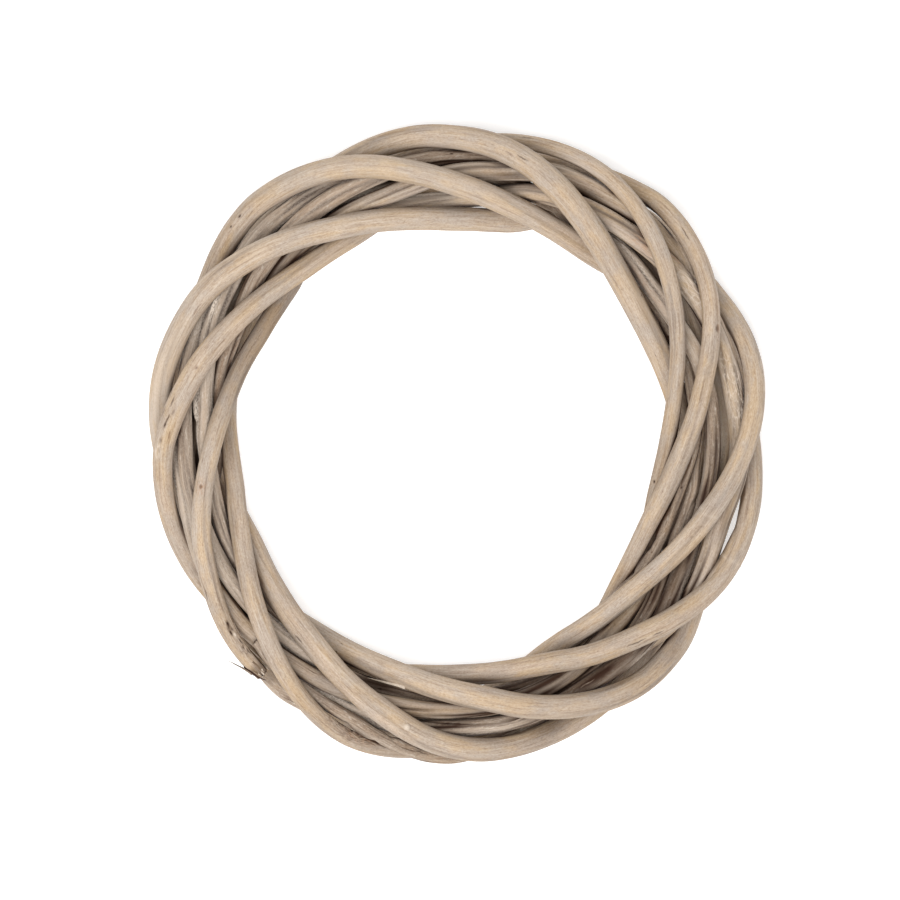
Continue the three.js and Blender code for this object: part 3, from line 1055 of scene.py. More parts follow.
    def carve(self, piece: bpy.types.Object) -> tuple[np.ndarray, np.ndarray]:
        """Carve the straight bar: its thickness, furrows, skin, marks and ends.

        Args:
            piece: The straight bar.

        Returns:
            The carved spots on the straight rod, and how dark, pale and warm each is.
        """
        bar = places_of(piece.data)
        stations = bar[:, 2]
        lie = np.arctan2(bar[:, 0], bar[:, 1])
        mean = float(self.route.radii.mean())
        share = np.hypot(bar[:, 0], bar[:, 1]) / mean
        on_end = (stations < WELD) | (stations > self.route.length - WELD)
        inner = on_end & (share < 0.95)
        radius = self.route.along(self.route.radii, stations) * ROUND_FIT
        swell = Wander(self.dice, *self.SWELL_WAVES)
        squash = Wander(self.dice, *self.FLAT_WAVES)
        turned = Wander(self.dice, *self.TURN_WAVES)
        uneven = self.carving.unevenness
        radius *= 1 + uneven * swell.at(stations)
        radius *= 1 + uneven * squash.at(stations) * np.cos(2 * (lie + turned.at(stations)))
        depth, marked = self.worked(stations, lie, radius)
        from_end = np.minimum(stations, self.route.length - stations) / MILLIMETRE
        rounding = 1 - self.END_ROUNDING * np.exp(-from_end / self.END_ROUND_LENGTH)
        out = (radius - np.where(on_end, 0.0, depth)) * rounding
        out = np.where(inner, out * share, out)
        if self.torn:
            out, stations = self.tear(out, lie, stations, np.where(inner, share, 1.0))
        carved = np.column_stack([out * np.sin(lie), out * np.cos(lie), stations])
        self.cut_ends(carved, on_end, share, marked)
        return carved, np.clip(marked, 0.0, 1.0)

    def tear(self, out: np.ndarray, lie: np.ndarray, stations: np.ndarray,
             share: np.ndarray) -> tuple[np.ndarray, np.ndarray]:
        """Tear the far end off: narrow it, and break its skin off at uneven lengths.

        Args:
            out: How far each spot lies from the rod's middle line.
            lie: Its angle round the rod.
            stations: How far along the rod it lies.
            share: How near the skin it lies, as a share of the radius.

        Returns:
            The spots' new distances from the middle line and their places along the rod.
        """
        from_end = (self.route.length - stations) / MILLIMETRE
        near = np.exp(-(from_end / self.TEAR_LENGTH) ** 2)
        teeth = (0.55 + 0.25 * np.sin(3 * lie + 0.6) + 0.2 * np.sin(8 * lie + 2.0)
                 + 0.15 * np.sin(13 * lie + 1.0))
        out = out * (1 - self.TEAR_NARROWING * near * (0.6 + 0.4 * np.sin(5 * lie)))
        back = self.TEAR_DEPTH * MILLIMETRE * teeth * near * share ** 2
        return out, stations - back

    def worked(self, stations: np.ndarray, lie: np.ndarray,
               radius: np.ndarray) -> tuple[np.ndarray, np.ndarray]:
        """Work out the depth of every furrow, mark and roughness.

        Args:
            stations: How far along the rod each spot lies.
            lie: Its angle round the rod, from the face.
            radius: The rod's radius there.

        Returns:
            Depth into the rod in metres, and the tones of dark, pale and warm.
        """
        depth = np.zeros(len(stations))
        marked = np.zeros((len(stations), 3))
        dice = self.dice
        for index in range(self.carving.furrows):
            line = dice.uniform(-math.pi, math.pi)
            drift = Wander(dice, *self.STRAY_WAVES)
            strength = Wander(dice, *self.DEEP_WAVES)
            width = dice.uniform(*self.carving.furrow_widths) * MILLIMETRE
            off = wrapped(lie - line - self.FURROW_STRAY * drift.at(stations)) * radius
            deep = np.clip(strength.at(stations) + 0.2, 0.0, 1.2) * np.exp(
                -(off / width) ** 2)
            ridge = index % self.RIDGE_EVERY == self.RIDGE_EVERY - 1
            sign = -self.RIDGE_HEIGHT if ridge else 1.0
            depth += sign * self.carving.furrow_depth * MILLIMETRE * deep
            # Each furrow is coloured darker towards its bottom, each ridge a little paler
            marked[:, 1 if ridge else 0] += self.carving.furrow_darkness * deep * (
                self.RIDGE_TONE if ridge else 1.0)
        skin = self.carving.roughness * MILLIMETRE
        rows = np.column_stack([
            np.sin(lie) * radius * self.SKIN_AROUND, np.cos(lie) * radius * self.SKIN_AROUND,
            stations * self.SKIN_ALONG + self.seed])
        depth += skin * rough_at(rows)
        for mark in self.marks:
            ahead = (stations - self.route.station(mark.turn)) / MILLIMETRE
            near = np.abs(ahead) < mark.length + 4
            beside = wrapped(lie[near] - self.route.lie_of(mark)) * radius[near] / MILLIMETRE
            press, tone = impression(mark, ahead[near], beside)
            depth[near] += press * MILLIMETRE
            marked[near] += tone[:, None] * np.array(mark.tone.value)
        # Add the stains and the painted shade and light along the rod
        marked += self.stained_and_shaded(self.route.along(self.route.turns, stations))
        return depth, marked

    def stained_and_shaded(self, turns: np.ndarray) -> np.ndarray:
        """Add up what the stains and the painted shade and light leave.

        Args:
            turns: The turns in degrees.

        Returns:
            Shares of dark, pale and warm at each turn.
        """
        total = np.zeros((len(turns), 3))
        for stain_and_shade in self.stains_and_shade:
            strength = stain_and_shade.share * np.exp(-((turns - stain_and_shade.turn) / (stain_and_shade.length / 2)) ** 4)
            total += strength[:, None] * np.array(stain_and_shade.tone.value)
        return total

    def cut_ends(self, carved: np.ndarray, on_end: np.ndarray, share: np.ndarray,
                 marked: np.ndarray) -> None:
        """Give both ends a rough, slightly slanted cut with a darker core.

        Args:
            carved: The carved spots, which are moved.
            on_end: Which of them lie on an end.
            share: How near the skin each one lies, as a share of the radius.
            marked: How dark, pale and warm each one is, which is changed.
        """
        for low in (True, False):
            end = on_end & ((carved[:, 2] < self.route.length / 2) == low)
            slope = self.dice.uniform(-self.CUT_SLANT, self.CUT_SLANT)
            sign = -1.0 if low else 1.0
            spots = carved[end]
            rough = rough_at(spots * self.CUT_GRAIN)
            carved[end, 2] += (
                slope * spots[:, 0] + sign * self.CUT_ROUGHNESS * MILLIMETRE * rough)
            marked[end, 0] += self.CORE_TONE * (1 - share[end]) + self.CORE_PATCHES * rough

    def lay_map(self, piece: bpy.types.Object) -> None:
        """Lay the rod's skin out flat in rows, and its two ends in the margin beside them.

        Args:
            piece: The straight bar.
        """
        mesh = piece.data
        bar = places_of(mesh)
        mean = float(self.route.radii.mean())
        rows = max(1, round(math.sqrt(self.route.length / (2 * math.pi * mean))))
        stretch = self.route.length / rows
        margin = self.MAP_MARGIN * mean / stretch
        scale = 1 - margin
        starts = np.zeros(len(mesh.polygons), np.int64)
        counts = np.zeros(len(mesh.polygons), np.int64)
        mesh.polygons.foreach_get("loop_start", starts)
        mesh.polygons.foreach_get("loop_total", counts)
        face = np.repeat(np.arange(len(starts)), counts)
        spots = bar[corners_of(mesh)]
        middles = np.add.reduceat(spots, starts) / counts[:, None]
        middle = middles[face]
        around = np.arctan2(middle[:, 0], middle[:, 1])
        turned = around + wrapped(np.arctan2(spots[:, 0], spots[:, 1]) - around)
        row = np.clip((middle[:, 2] / stretch).astype(int), 0, rows - 1)
        across = 0.5 + self.MAP_BREADTH * turned / math.pi
        flat = np.column_stack([
            scale * np.clip(spots[:, 2] / stretch - row, 0, 1), (row + across) / rows])
        size = np.add.reduceat(np.abs(spots[:, 2] - middle[:, 2]), starts)[face]
        ends = size < WELD
        high = middle[:, 2] > self.route.length / 2
        cap = np.column_stack([
            1 - margin / 2 + spots[:, 0] / stretch * self.CAP_SCALE,
            margin * (0.5 + high) + spots[:, 1] / stretch * self.CAP_SCALE])
        flat[ends] = cap[ends]
        write_map(mesh, flat)
        self.margin, self.cap_room = margin, self.CAP_ROOM * margin

    def lay_fibre_map(self, mesh: bpy.types.Mesh, count: int, shape: np.ndarray) -> None:
        """Lay the fibres' skins out in the margin, one above the other.

        Args:
            mesh: All the fibres, one after the other.
            count: How many there are.
            shape: The straight fibre that each one copies.
        """
        number, corner = np.divmod(corners_of(mesh), len(shape))
        room = (1 - self.cap_room) / count
        across = 1 - self.margin * (0.95 - 0.9 * shape[corner, 2])
        up = self.cap_room + room * (number + 0.5 + 0.8 * shape[corner, 0])
        write_map(mesh, np.column_stack([across, up]))


# What the rods' surfaces are worked with
def rough_at(rows: np.ndarray) -> np.ndarray:
    """Read a rough noise, from -1 to 1, at some places."""
    return np.array([noise.noise(row) for row in rows.tolist()])


def with_alpha(tones: np.ndarray) -> np.ndarray:
    """Add a full fourth part to colours of three parts."""
    return np.column_stack([tones, np.ones(len(tones))])


def wrapped(angle: np.ndarray) -> np.ndarray:
    """Bring angles in radians between minus and plus half a turn."""
    return (angle + math.pi) % (2 * math.pi) - math.pi


def impression(mark: Mark, ahead: np.ndarray,
               beside: np.ndarray) -> tuple[np.ndarray, np.ndarray]:
    """Work out what one mark does to the surface round it.

    Args:
        mark: The mark.
        ahead: Millimetres along the rod from the mark's middle.
        beside: Millimetres round the rod from the mark's middle.

    Returns:
        Depth into the rod in millimetres, and how strongly the mark colours each spot.
    """
    half, wide = mark.length / 2, mark.width / 2
    if mark.shape is Shape.CRACK:
        wobble = 0.12 * np.sin(ahead * 0.9 + mark.turn) + 0.05 * np.sin(ahead * 2.7)
        taper = np.clip(1 - (ahead / half) ** 2, 0, 1)
        inside = np.exp(-((beside - wobble) / (wide * (0.4 + taper))) ** 2) * np.sqrt(taper)
        return mark.depth * inside, 0.75 * inside
    if mark.shape is Shape.RING:
        wobble = 0.5 * np.sin(beside * 0.9 + mark.turn)
        groove = np.exp(-((ahead - wobble) / 0.55) ** 2)
        lip = np.exp(-((ahead - wobble - 1.1) / 0.9) ** 2)
        return mark.depth * (0.6 * groove - lip), 0.25 * groove
    distance = np.hypot(ahead / half, beside / wide)
    if mark.shape is Shape.BUMP:
        dome = np.clip(1 - distance ** 2, 0, 1)
        moat = np.exp(-((distance - 1.15) / 0.25) ** 2)
        return mark.depth * (0.35 * moat - dome), 0.6 * dome
    if mark.shape is Shape.KNOT:
        core = np.exp(-(distance / 0.8) ** 4)
        lip = np.exp(-((distance - 1.35) / 0.4) ** 2)
        return mark.depth * (core - 0.7 * lip), core
    if mark.shape is Shape.BARK:
        inside = np.exp(-distance ** 4)
        rows = np.column_stack([ahead * 0.28, beside * 1.15, np.full(len(ahead), mark.turn)])
        lines = np.clip(1 - 4.2 * np.abs(rough_at(rows)), 0, 1)
        return mark.depth * inside * (lines - 0.3), inside * (0.1 + 0.6 * lines)
    # Painted shade and light: colour only, no depth
    if mark.shape is Shape.TINT:
        return np.zeros(len(ahead)), mark.depth * np.exp(-distance ** 2)
    inside = np.exp(-distance ** 2)
    return mark.depth * inside, inside


def select_faces(piece: bpy.types.Object,
                 wanted: Callable[[bmesh.types.BMFace], bool]) -> None:
    """Select only the faces that pass a test.

    Args:
        piece: The piece, in edit mode.
        wanted: The test.
    """
    bpy.ops.mesh.select_mode(type="FACE")
    bpy.ops.mesh.select_all(action="DESELECT")
    mesh = bmesh.from_edit_mesh(piece.data)
    for face in mesh.faces:
        if wanted(face):
            face.select_set(True)
    bmesh.update_edit_mesh(piece.data)


def select_lengthwise(piece: bpy.types.Object) -> None:
    """Select only the edges that run along a standing bar.

    Args:
        piece: The bar, in edit mode.
    """
    bpy.ops.mesh.select_mode(type="EDGE")
    bpy.ops.mesh.select_all(action="DESELECT")
    mesh = bmesh.from_edit_mesh(piece.data)
    for edge in mesh.edges:
        first, second = edge.verts
        if abs(first.co.z - second.co.z) > WELD:
            edge.select_set(True)
    bmesh.update_edit_mesh(piece.data)


def places_of(mesh: bpy.types.Mesh) -> np.ndarray:
    """Read the places of a mesh's vertices.

    Args:
        mesh: The mesh.

    Returns:
        One row for each vertex.
    """
    flat = np.zeros(len(mesh.vertices) * 3)
    mesh.vertices.foreach_get("co", flat)
    return flat.reshape(-1, 3)


def corners_of(mesh: bpy.types.Mesh) -> np.ndarray:
    """Read which vertex each corner of a mesh's faces is.

    Args:
        mesh: The mesh.

    Returns:
        One vertex number for each corner.
    """
    corners = np.zeros(len(mesh.loops), np.int64)
    mesh.loops.foreach_get("vertex_index", corners)
    return corners


def write_map(mesh: bpy.types.Mesh, flat: np.ndarray) -> None:
    """Give a mesh one surface map, and no other.

    Args:
        mesh: The mesh.
        flat: The place in the map of each corner of its faces.
    """
    while mesh.uv_layers:
        mesh.uv_layers.remove(mesh.uv_layers[0])
    layer = mesh.uv_layers.new(name=SURFACE_MAP)
    layer.uv.foreach_set("vector", flat.astype(np.float32).ravel())


def place(mesh: bpy.types.Mesh, spots: np.ndarray) -> None:
    """Move a mesh's vertices to new places."""
    mesh.vertices.foreach_set("co", np.ascontiguousarray(spots).ravel())
    mesh.update()


def store(mesh: bpy.types.Mesh, name: str, kind: str, values: np.ndarray) -> None:
    """Keep one value for each vertex on the mesh.

    Args:
        mesh: The mesh.
        name: The name that its finish reads.
        kind: What kind of value it is.
        values: The values.
    """
    attribute = mesh.attributes.new(name, kind, "POINT")
    part = {"FLOAT": "value", "FLOAT_VECTOR": "vector", "FLOAT_COLOR": "color"}[kind]
    attribute.data.foreach_set(part, np.ascontiguousarray(values, np.float32).ravel())


# How deep inside the bundle a spot lies
class Shelter:
    """Tells how deep inside the bundle a spot on a rod lies."""

    # Looks are taken at so many places round the rod and at this pace along it
    PACE = 3 * MILLIMETRE
    SIDES = 24
    # How many looks are taken from each place, how far they reach and where they start
    LOOKS = 24
    SIGHT = 14 * MILLIMETRE
    LEAVE = 0.6 * MILLIMETRE

    def __init__(self) -> None:
        """Gather the solid rods that can stand in the way."""
        corners, faces = [], []
        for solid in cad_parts.values():
            base = len(corners)
            corners.extend(vertex.co.copy() for vertex in solid.data.vertices)
            faces.extend(
                tuple(base + index for index in face.vertices) for face in solid.data.polygons)
        self.bundle = BVHTree.FromPolygons(corners, faces)
        golden = math.pi * (3 - math.sqrt(5))
        self.looks = []
        for index in range(self.LOOKS):
            flat = math.sqrt((index + 0.5) / self.LOOKS)
            turn = index * golden
            self.looks.append((
                flat * math.cos(turn), flat * math.sin(turn), math.sqrt(1 - flat * flat)))

    def seen_from(self, spot: Vector, out: Vector, ahead: Vector) -> float:
        """Look round from a spot.

        Args:
            spot: A spot on the rod's skin.
            out: The direction out of the skin.
            ahead: The direction along the rod.

        Returns:
            The share of the view that nearby rods fill.
        """
        side = out.cross(ahead)
        start = spot + out * self.LEAVE
        filled = 0.0
        for along, across, away in self.looks:
            direction = ahead * along + side * across + out * away
            distance = self.bundle.ray_cast(start, direction, self.SIGHT)[3]
            if distance is not None:
                filled += 1 - 0.5 * distance / self.SIGHT
        return filled / self.LOOKS

    def read(self, route: Route, straight: np.ndarray) -> np.ndarray:
        """Work out the shelter of every spot on one rod.

        Args:
            route: The rod's route.
            straight: The spots on the straight rod.

        Returns:
            A value from 0, in the open, to 1, deep inside.
        """
        count = max(2, round(route.length / self.PACE))
        stations = np.linspace(0.0, route.length, count)
        ahead, face, rim = route.frame_at(stations)
        centres = route.along(route.centres, stations)
        radii = route.along(route.radii, stations)
        table = np.zeros((count, self.SIDES + 1))
        for row in range(count):
            for column in range(self.SIDES):
                lie = 2 * math.pi * column / self.SIDES
                out = rim[row] * math.sin(lie) + face[row] * math.cos(lie)
                spot = centres[row] + out * radii[row]
                table[row, column] = self.seen_from(
                    Vector(spot), Vector(out), Vector(ahead[row]))
        table[:, -1] = table[:, 0]
        down = np.clip(straight[:, 2] / route.length, 0, 1) * (count - 1)
        lie = np.arctan2(straight[:, 0], straight[:, 1]) % (2 * math.pi)
        across = lie / (2 * math.pi) * self.SIDES
        top = np.minimum(down.astype(int), count - 2)
        left = np.minimum(across.astype(int), self.SIDES - 1)
        below, right = down - top, across - left
        upper = table[top, left] * (1 - right) + table[top, left + 1] * right
        lower = table[top + 1, left] * (1 - right) + table[top + 1, left + 1] * right
        return upper * (1 - below) + lower * below


# The nine rods
def marks(shape: Shape, tone: Tone, *rows: tuple[float, ...]) -> list[Mark]:
    """Make marks of one shape and tone.

    Args:
        shape: What they do to the surface.
        tone: The colour that they leave.
        rows: The turn, reach, length, width and depth of each one.

    Returns:
        One mark for each row.
    """
    return [Mark(shape, *row, tone) for row in rows]


def stains_and_shade(tone: Tone, *rows: tuple[float, float, float]) -> list[StainAndShade]:
    """Make stains and painted shade and light of one tone from the turn, length and share of each
    one.
    """
    return [StainAndShade(turn, length, tone, share) for turn, length, share in rows]


def wreath_rods() -> list[Rod]:
    """List the rods with the marks that each one shows.

    Returns:
        The nine rods, the outer ones first.
    """
    # The colour-only marks are painted shade where dark and painted light where pale
    return [
        Rod("outer_rod_thick", PALE_RATTAN, 210, seed=11, marks=[
            *marks(Shape.BARK, Tone.BROWN, (238, 119.5, 26, 7, 0.18)),
            *marks(Shape.CRACK, Tone.BROWN,
                (238, 121, 12, 0.5, 0.25), (798.5, 118.4, 4, 0.4, 0.15)),
            *marks(Shape.CRACK, Tone.DARK, (244, 117.5, 10, 0.5, 0.25), (796, 117.8, 6, 0.4, 0.15)),
            *marks(Shape.DENT, Tone.DARK, (759.5, 96.8, 1, 0.9, 0.5)),
            *marks(Shape.BUMP, Tone.PLAIN, (340, 102, 3, 2.6, 0.2)),
            *marks(Shape.TINT, Tone.DARK,
                (300.8, 90.4, 18, 4.5, 0.4), (530.8, 115, 24, 2.4, 0.6), (612.5, 98, 16, 3, 0.4),
                (231, 118, 6, 8, 0.4), (678.5, 119.6, 22, 6, 0.25)),
            *marks(Shape.TINT, Tone.PALE,
                (519, 113.6, 34, 4, 0.3), (755.6, 94.8, 34, 3.5, 0.4), (807.5, 115, 26, 4, 0.4)),
            Mark(Shape.RING, 345, lie=0, depth=0.1, tone=Tone.PALE),
        ], fibres=[
            Fibre(619.5, 72, length=-16, width=2.6, lift=1.9, drift=0.2, tone=Tone.PALE),
            Fibre(370.0, 64, length=14, width=0.7, lift=0.5, tone=Tone.PALE),
            Fibre(374.0, 58, length=9, width=0.6, lift=0.6, tone=Tone.PALE),
            Fibre(242.0, 30, length=-12, width=0.7, lift=0.4, drift=0.6, tone=Tone.PALE),
            Fibre(236.0, 5, length=-9, width=0.8, lift=0.5, drift=-0.8),
        ], stains_and_shade=[
            *stains_and_shade(Tone.DARK, (330, 60, 0.05), (660, 46, 0.16), (785, 50, 0.05)),
            *stains_and_shade(Tone.PALE, (540, 40, 0.3)),
        ]),
        Rod("outer_rod_long", TAN_RATTAN, 140, seed=12, marks=[
            *marks(Shape.BARK, Tone.DUSKY, (250, 121.2, 34, 9, 0.4)),
            *marks(Shape.BARK, Tone.ORANGE, (251, 122, 16, 5, 0.2)),
            *marks(Shape.KNOT, Tone.BROWN, (384.4, 115.7, 3.6, 2.2, 0.3)),
            *marks(Shape.CRACK, Tone.DARK,
                (402, 125.6, 8, 0.35, 0.15), (531, 113.2, 5, 0.5, 0.2), (534.2, 114, 4, 0.5, 0.2),
                (673.5, 107.4, 9, 0.4, 0.2), (678, 110.8, 5, 0.35, 0.15), (952, 98.8, 5, 0.6, 0.2)),
            *marks(Shape.DENT, Tone.BROWN, (523, 106.8, 1.6, 1.2, 0.15)),
            *marks(Shape.CRACK, Tone.DUSKY,
                (530, 115.6, 4, 0.7, 0.15), (532.8, 112.2, 2.6, 0.7, 0.15),
                (533.6, 116.4, 5, 0.8, 0.15), (540.2, 117, 3, 0.8, 0.2)),
            *marks(Shape.CRACK, Tone.BROWN, (537, 112.8, 3.5, 0.5, 0.2), (797, 102.4, 5, 0.5, 0.2)),
            *marks(Shape.BARK, Tone.PALE, (540.4, 117.8, 7, 3.6, 0.1)),
            *marks(Shape.DENT, Tone.DARK,
                (535.5, 115, 2.4, 0.9, 0.2), (852, 125.6, 1.8, 0.9, 0.3),
                (854.5, 125.2, 1.4, 0.8, 0.3)),
            *marks(Shape.DENT, Tone.DUSKY, (538.5, 116.4, 2.2, 1, 0.2)),
            *marks(Shape.BUMP, Tone.PALE, (980.2, 113.2, 3.4, 3.2, 0.45)),
            *marks(Shape.TINT, Tone.DARK,
                (180.4, 88.8, 24, 4.5, 0.35), (321.6, 86, 18, 4, 0.4), (351, 84, 22, 6, 0.25),
                (638, 94.4, 26, 5, 0.55), (861, 118.2, 14, 2.4, 0.6), (1008.8, 119.2, 20, 8, 0.45)),
            *marks(Shape.TINT, Tone.PALE,
                (196.5, 94, 22, 3, 0.4), (547, 112.6, 34, 3, 0.4), (848.5, 119.6, 40, 4, 0.4)),
            Mark(Shape.RING, 697, lie=0, depth=0.12, tone=Tone.PALE),
            # A bump that fills a gap between rods, darkened as painted shade
            Mark(Shape.BUMP, 697.6, lie=-85, length=26, width=6, depth=0.7),
        ], stains_and_shade=[
            *stains_and_shade(Tone.DARK, (250, 36, 0.12), (670, 40, 0.12), (1015, 50, 0.12)),
            *stains_and_shade(Tone.PALE, (460, 70, 0.12), (812, 60, 0.1)),
        ]),
        Rod("outer_rod_torn", PALE_RATTAN, 305, seed=13, torn=True, marks=[
            *marks(Shape.KNOT, Tone.BROWN, (549.5, 102, 2.2, 1.6, 0.25)),
            *marks(Shape.BARK, Tone.ORANGE, (549.5, 102, 8, 5, 0.02)),
            *marks(Shape.DENT, Tone.DARK,
                (578, 114.2, 2.4, 1.2, 0.3), (579.9, 115.6, 2.8, 1.1, 0.3)),
            *marks(Shape.DENT, Tone.DUSKY,
                (578.8, 114.9, 2, 1.9, 0.3), (579.4, 114.2, 1.6, 1.1, 0.3)),
            *marks(Shape.DENT, Tone.PALE, (580.6, 114.9, 1.6, 1, -0.2)),
            *marks(Shape.BARK, Tone.DUSKY, (583.8, 115.3, 15, 5, 0.2)),
            *marks(Shape.CRACK, Tone.DARK,
                (582.3, 115, 3, 0.4, 0.3), (584.8, 115.4, 3, 0.4, 0.3), (571, 114.8, 7, 0.4, 0.2)),
            *marks(Shape.CRACK, Tone.DUSKY, (583.6, 115.8, 2.6, 0.4, 0.3)),
            *marks(Shape.CRACK, Tone.BROWN, (586.3, 114.2, 5, 0.5, 0.3), (584, 113, 7, 0.5, 0.3)),
            *marks(Shape.CRACK, Tone.PLAIN, (574.5, 113.5, 8, 0.4, 0.15)),
            *marks(Shape.BARK, Tone.PLAIN, (579, 116, 44, 9, 0.2)),
            *marks(Shape.TINT, Tone.PALE, (425, 122.8, 24, 3, 0.4)),
        ], fibres=[
            Fibre(578.5, -72, length=26, width=0.9, lift=1.6, drift=0.6, tone=Tone.PALE),
            Fibre(576.5, -60, length=22, width=0.7, lift=0.9, drift=-0.5, tone=Tone.BROWN),
            Fibre(588.8, 84, length=-10.5, width=2.3, lift=3.8),
            Fibre(586.6, 82, length=10.5, width=1.6, lift=0.8, drift=-4.0, tone=Tone.DARK),
            Fibre(588.4, 50, length=6.5, width=1.3, lift=1.0, drift=-3.0),
            Fibre(589.2, -20, length=3.2, width=1.2, lift=0.1, drift=1.0, tone=Tone.PALE),
            Fibre(589.4, 25, length=2.6, width=1.0, lift=-0.4, drift=-0.8, tone=Tone.PALE),
            Fibre(588.0, 55, length=6, width=1.0, lift=0.2),
            Fibre(587.0, -15, length=7, width=0.9, lift=0.3, tone=Tone.DUSKY),
            Fibre(588.5, -50, length=5, width=0.8, lift=-0.6),
            Fibre(588.0, 100, length=4, width=1.0, lift=-0.3, tone=Tone.DARK),
            Fibre(587.5, 160, length=6, width=1.1, lift=-0.8, tone=Tone.DUSKY),
            Fibre(588.5, -110, length=5, width=0.9, lift=0.4, tone=Tone.PALE),
        ], stains_and_shade=[
            *stains_and_shade(Tone.DARK,
                (395, 60, 0.07), (506, 56, 0.36), (583, 30, 0.1), (590, 4.6, 0.5), (335, 66, 0.28)),
        ]),
        Rod("thin_rod_rim", GREY_RATTAN, 225, seed=14, carving=WEATHERED, sides=20, marks=[
            # Bumps that fill gaps between the rods, darkened as painted shade
            Mark(Shape.BUMP, 260.4, lie=-80, length=12, width=5, depth=0.9),
            Mark(Shape.BUMP, 252.4, lie=80, length=12, width=5, depth=0.9),
        ], stains_and_shade=[
            *stains_and_shade(Tone.DARK, (265, 90, 0.12)),
        ]),
        Rod("thin_rod_hole", GREY_RATTAN, 295, seed=15, carving=WEATHERED, sides=20, marks=[
            # Bumps that fill gaps between the rods, darkened as painted shade, the first by the
            # stain at turn 387
            *marks(Shape.BUMP, Tone.PLAIN, (387, 96.1, 14, 6, 1.1)),
            Mark(Shape.BUMP, 339.8, lie=-85, length=14, width=5, depth=0.9),
            Mark(Shape.BUMP, 328.7, lie=-80, length=12, width=5, depth=0.9),
        ], stains_and_shade=[
            *stains_and_shade(Tone.DARK, (387, 16, 0.3), (332, 64, 0.24)),
        ]),
        Rod("inner_rod_first", TAN_RATTAN, 305, seed=16, carving=WEATHERED, marks=[
            *marks(Shape.BARK, Tone.PALE, (371, 114.4, 40, 11, 0.22), (394, 114, 24, 10, 0.22)),
            *marks(Shape.BARK, Tone.ORANGE, (406, 110.5, 16, 7, 0.1), (399, 117.5, 14, 4, 0.1)),
            # The dark crack and dent at turn 388 paint the shadowed gap beside the rod
            *marks(Shape.CRACK, Tone.DARK, (388, 109.7, 20, 1.4, 0.3)),
            *marks(Shape.DENT, Tone.DARK, (388, 109.9, 20, 2.6, 0.1)),
            *marks(Shape.TINT, Tone.DARK,
                (343.2, 112.8, 14, 2.4, 0.5), (363.4, 112.7, 12, 2.4, 0.5),
                (438.5, 106.8, 28, 4.6, 0.8), (558.6, 112.4, 14, 3, 0.6),
                (652.6, 101.4, 24, 3, 0.5), (782.5, 114, 26, 5, 0.75), (798.5, 110.4, 22, 3, 0.7)),
            *marks(Shape.TINT, Tone.PALE,
                (412, 107.2, 32, 3, 0.5), (456, 102, 18, 3.5, 0.5), (719, 107, 32, 4, 0.5),
                (785.3, 120.2, 26, 3, 0.45)),
        ], stains_and_shade=[
            *stains_and_shade(Tone.PALE, (460, 50, 0.2), (553, 26, 0.4)),
            *stains_and_shade(Tone.DARK, (352, 22, 0.12), (618, 56, 0.3), (655, 40, 0.5), (855, 30, 0.5)),
        ], sides=40, pace=1.2),
        Rod("inner_rod_second", GREY_RATTAN, 215, seed=17, carving=WEATHERED, marks=[
            *marks(Shape.DENT, Tone.PALE, (509, 110.8, 12, 2.4, 0.12)),
            *marks(Shape.BARK, Tone.ORANGE, (398, 100.5, 24, 5, 0.1)),
            *marks(Shape.TINT, Tone.DARK,
                (255.2, 115.6, 20, 4.5, 0.65), (269.2, 111.4, 15, 4, 0.7), (302, 108.6, 20, 3, 0.5),
                (323.2, 103.4, 18, 3, 0.5), (349, 102, 14, 3.5, 0.6), (399.5, 101, 28, 4.5, 0.35),
                (481.2, 115.4, 16, 3, 0.6), (493.2, 113.6, 18, 3, 0.6), (508, 106.2, 16, 4, 0.6),
                (529.6, 98.6, 16, 3.5, 0.55)),
            *marks(Shape.TINT, Tone.PALE,
                (243.8, 111.6, 20, 3.5, 0.5), (276.8, 115.2, 22, 5, 0.5), (311.6, 113, 14, 3, 0.5),
                (330.5, 107.4, 24, 3, 0.5), (354.5, 100.4, 16, 2.6, 0.5), (386.6, 105, 13, 3, 0.5),
                (408.5, 104.8, 36, 3.5, 0.55), (537, 102.4, 30, 3, 0.6)),
            # Bumps that fill gaps between the rods, darkened as painted shade
            Mark(Shape.BUMP, 422.6, lie=-85, length=14, width=6, depth=1),
            Mark(Shape.BUMP, 530.2, lie=85, length=14, width=6, depth=1),
        ], stains_and_shade=[
            *stains_and_shade(Tone.PALE,
                (250, 24, 0.35), (390, 26, 0.25), (505, 80, 0.25), (530, 28, 0.15), (560, 40, 0.12)),
            *stains_and_shade(Tone.DARK, (312, 56, 0.7), (350, 36, 0.25)),
        ], sides=40, pace=1.2),
        Rod("inner_rod_third", BROWN_RATTAN, 35, seed=18, carving=WEATHERED, marks=[
            *marks(Shape.TINT, Tone.DARK, (121.4, 106.2, 18, 4, 0.5), (323.4, 101.6, 16, 3.5, 0.5)),
            # Bumps that fill gaps between the rods, darkened as painted shade
            Mark(Shape.BUMP, 184.4, lie=-85, length=18, width=7, depth=1.6),
            Mark(Shape.BUMP, 343.8, lie=85, length=12, width=5, depth=0.8),
        ], stains_and_shade=[
            *stains_and_shade(Tone.DARK, (90, 26, 0.12), (152, 30, 0.2), (330, 30, 0.2)),
            *stains_and_shade(Tone.PALE, (118, 36, 0.22), (358, 30, 0.12)),
        ], sides=40, pace=1.2),
        Rod("inner_rod_fourth", GREY_RATTAN, 100, seed=19, carving=WEATHERED, marks=[
            *marks(Shape.TINT, Tone.DARK,
                (186.6, 103.4, 10, 2.4, 0.6), (190.6, 105.2, 10, 2.4, 0.6),
                (205.8, 103.1, 16, 2.4, 0.6), (252.5, 99.2, 16, 3, 0.5)),
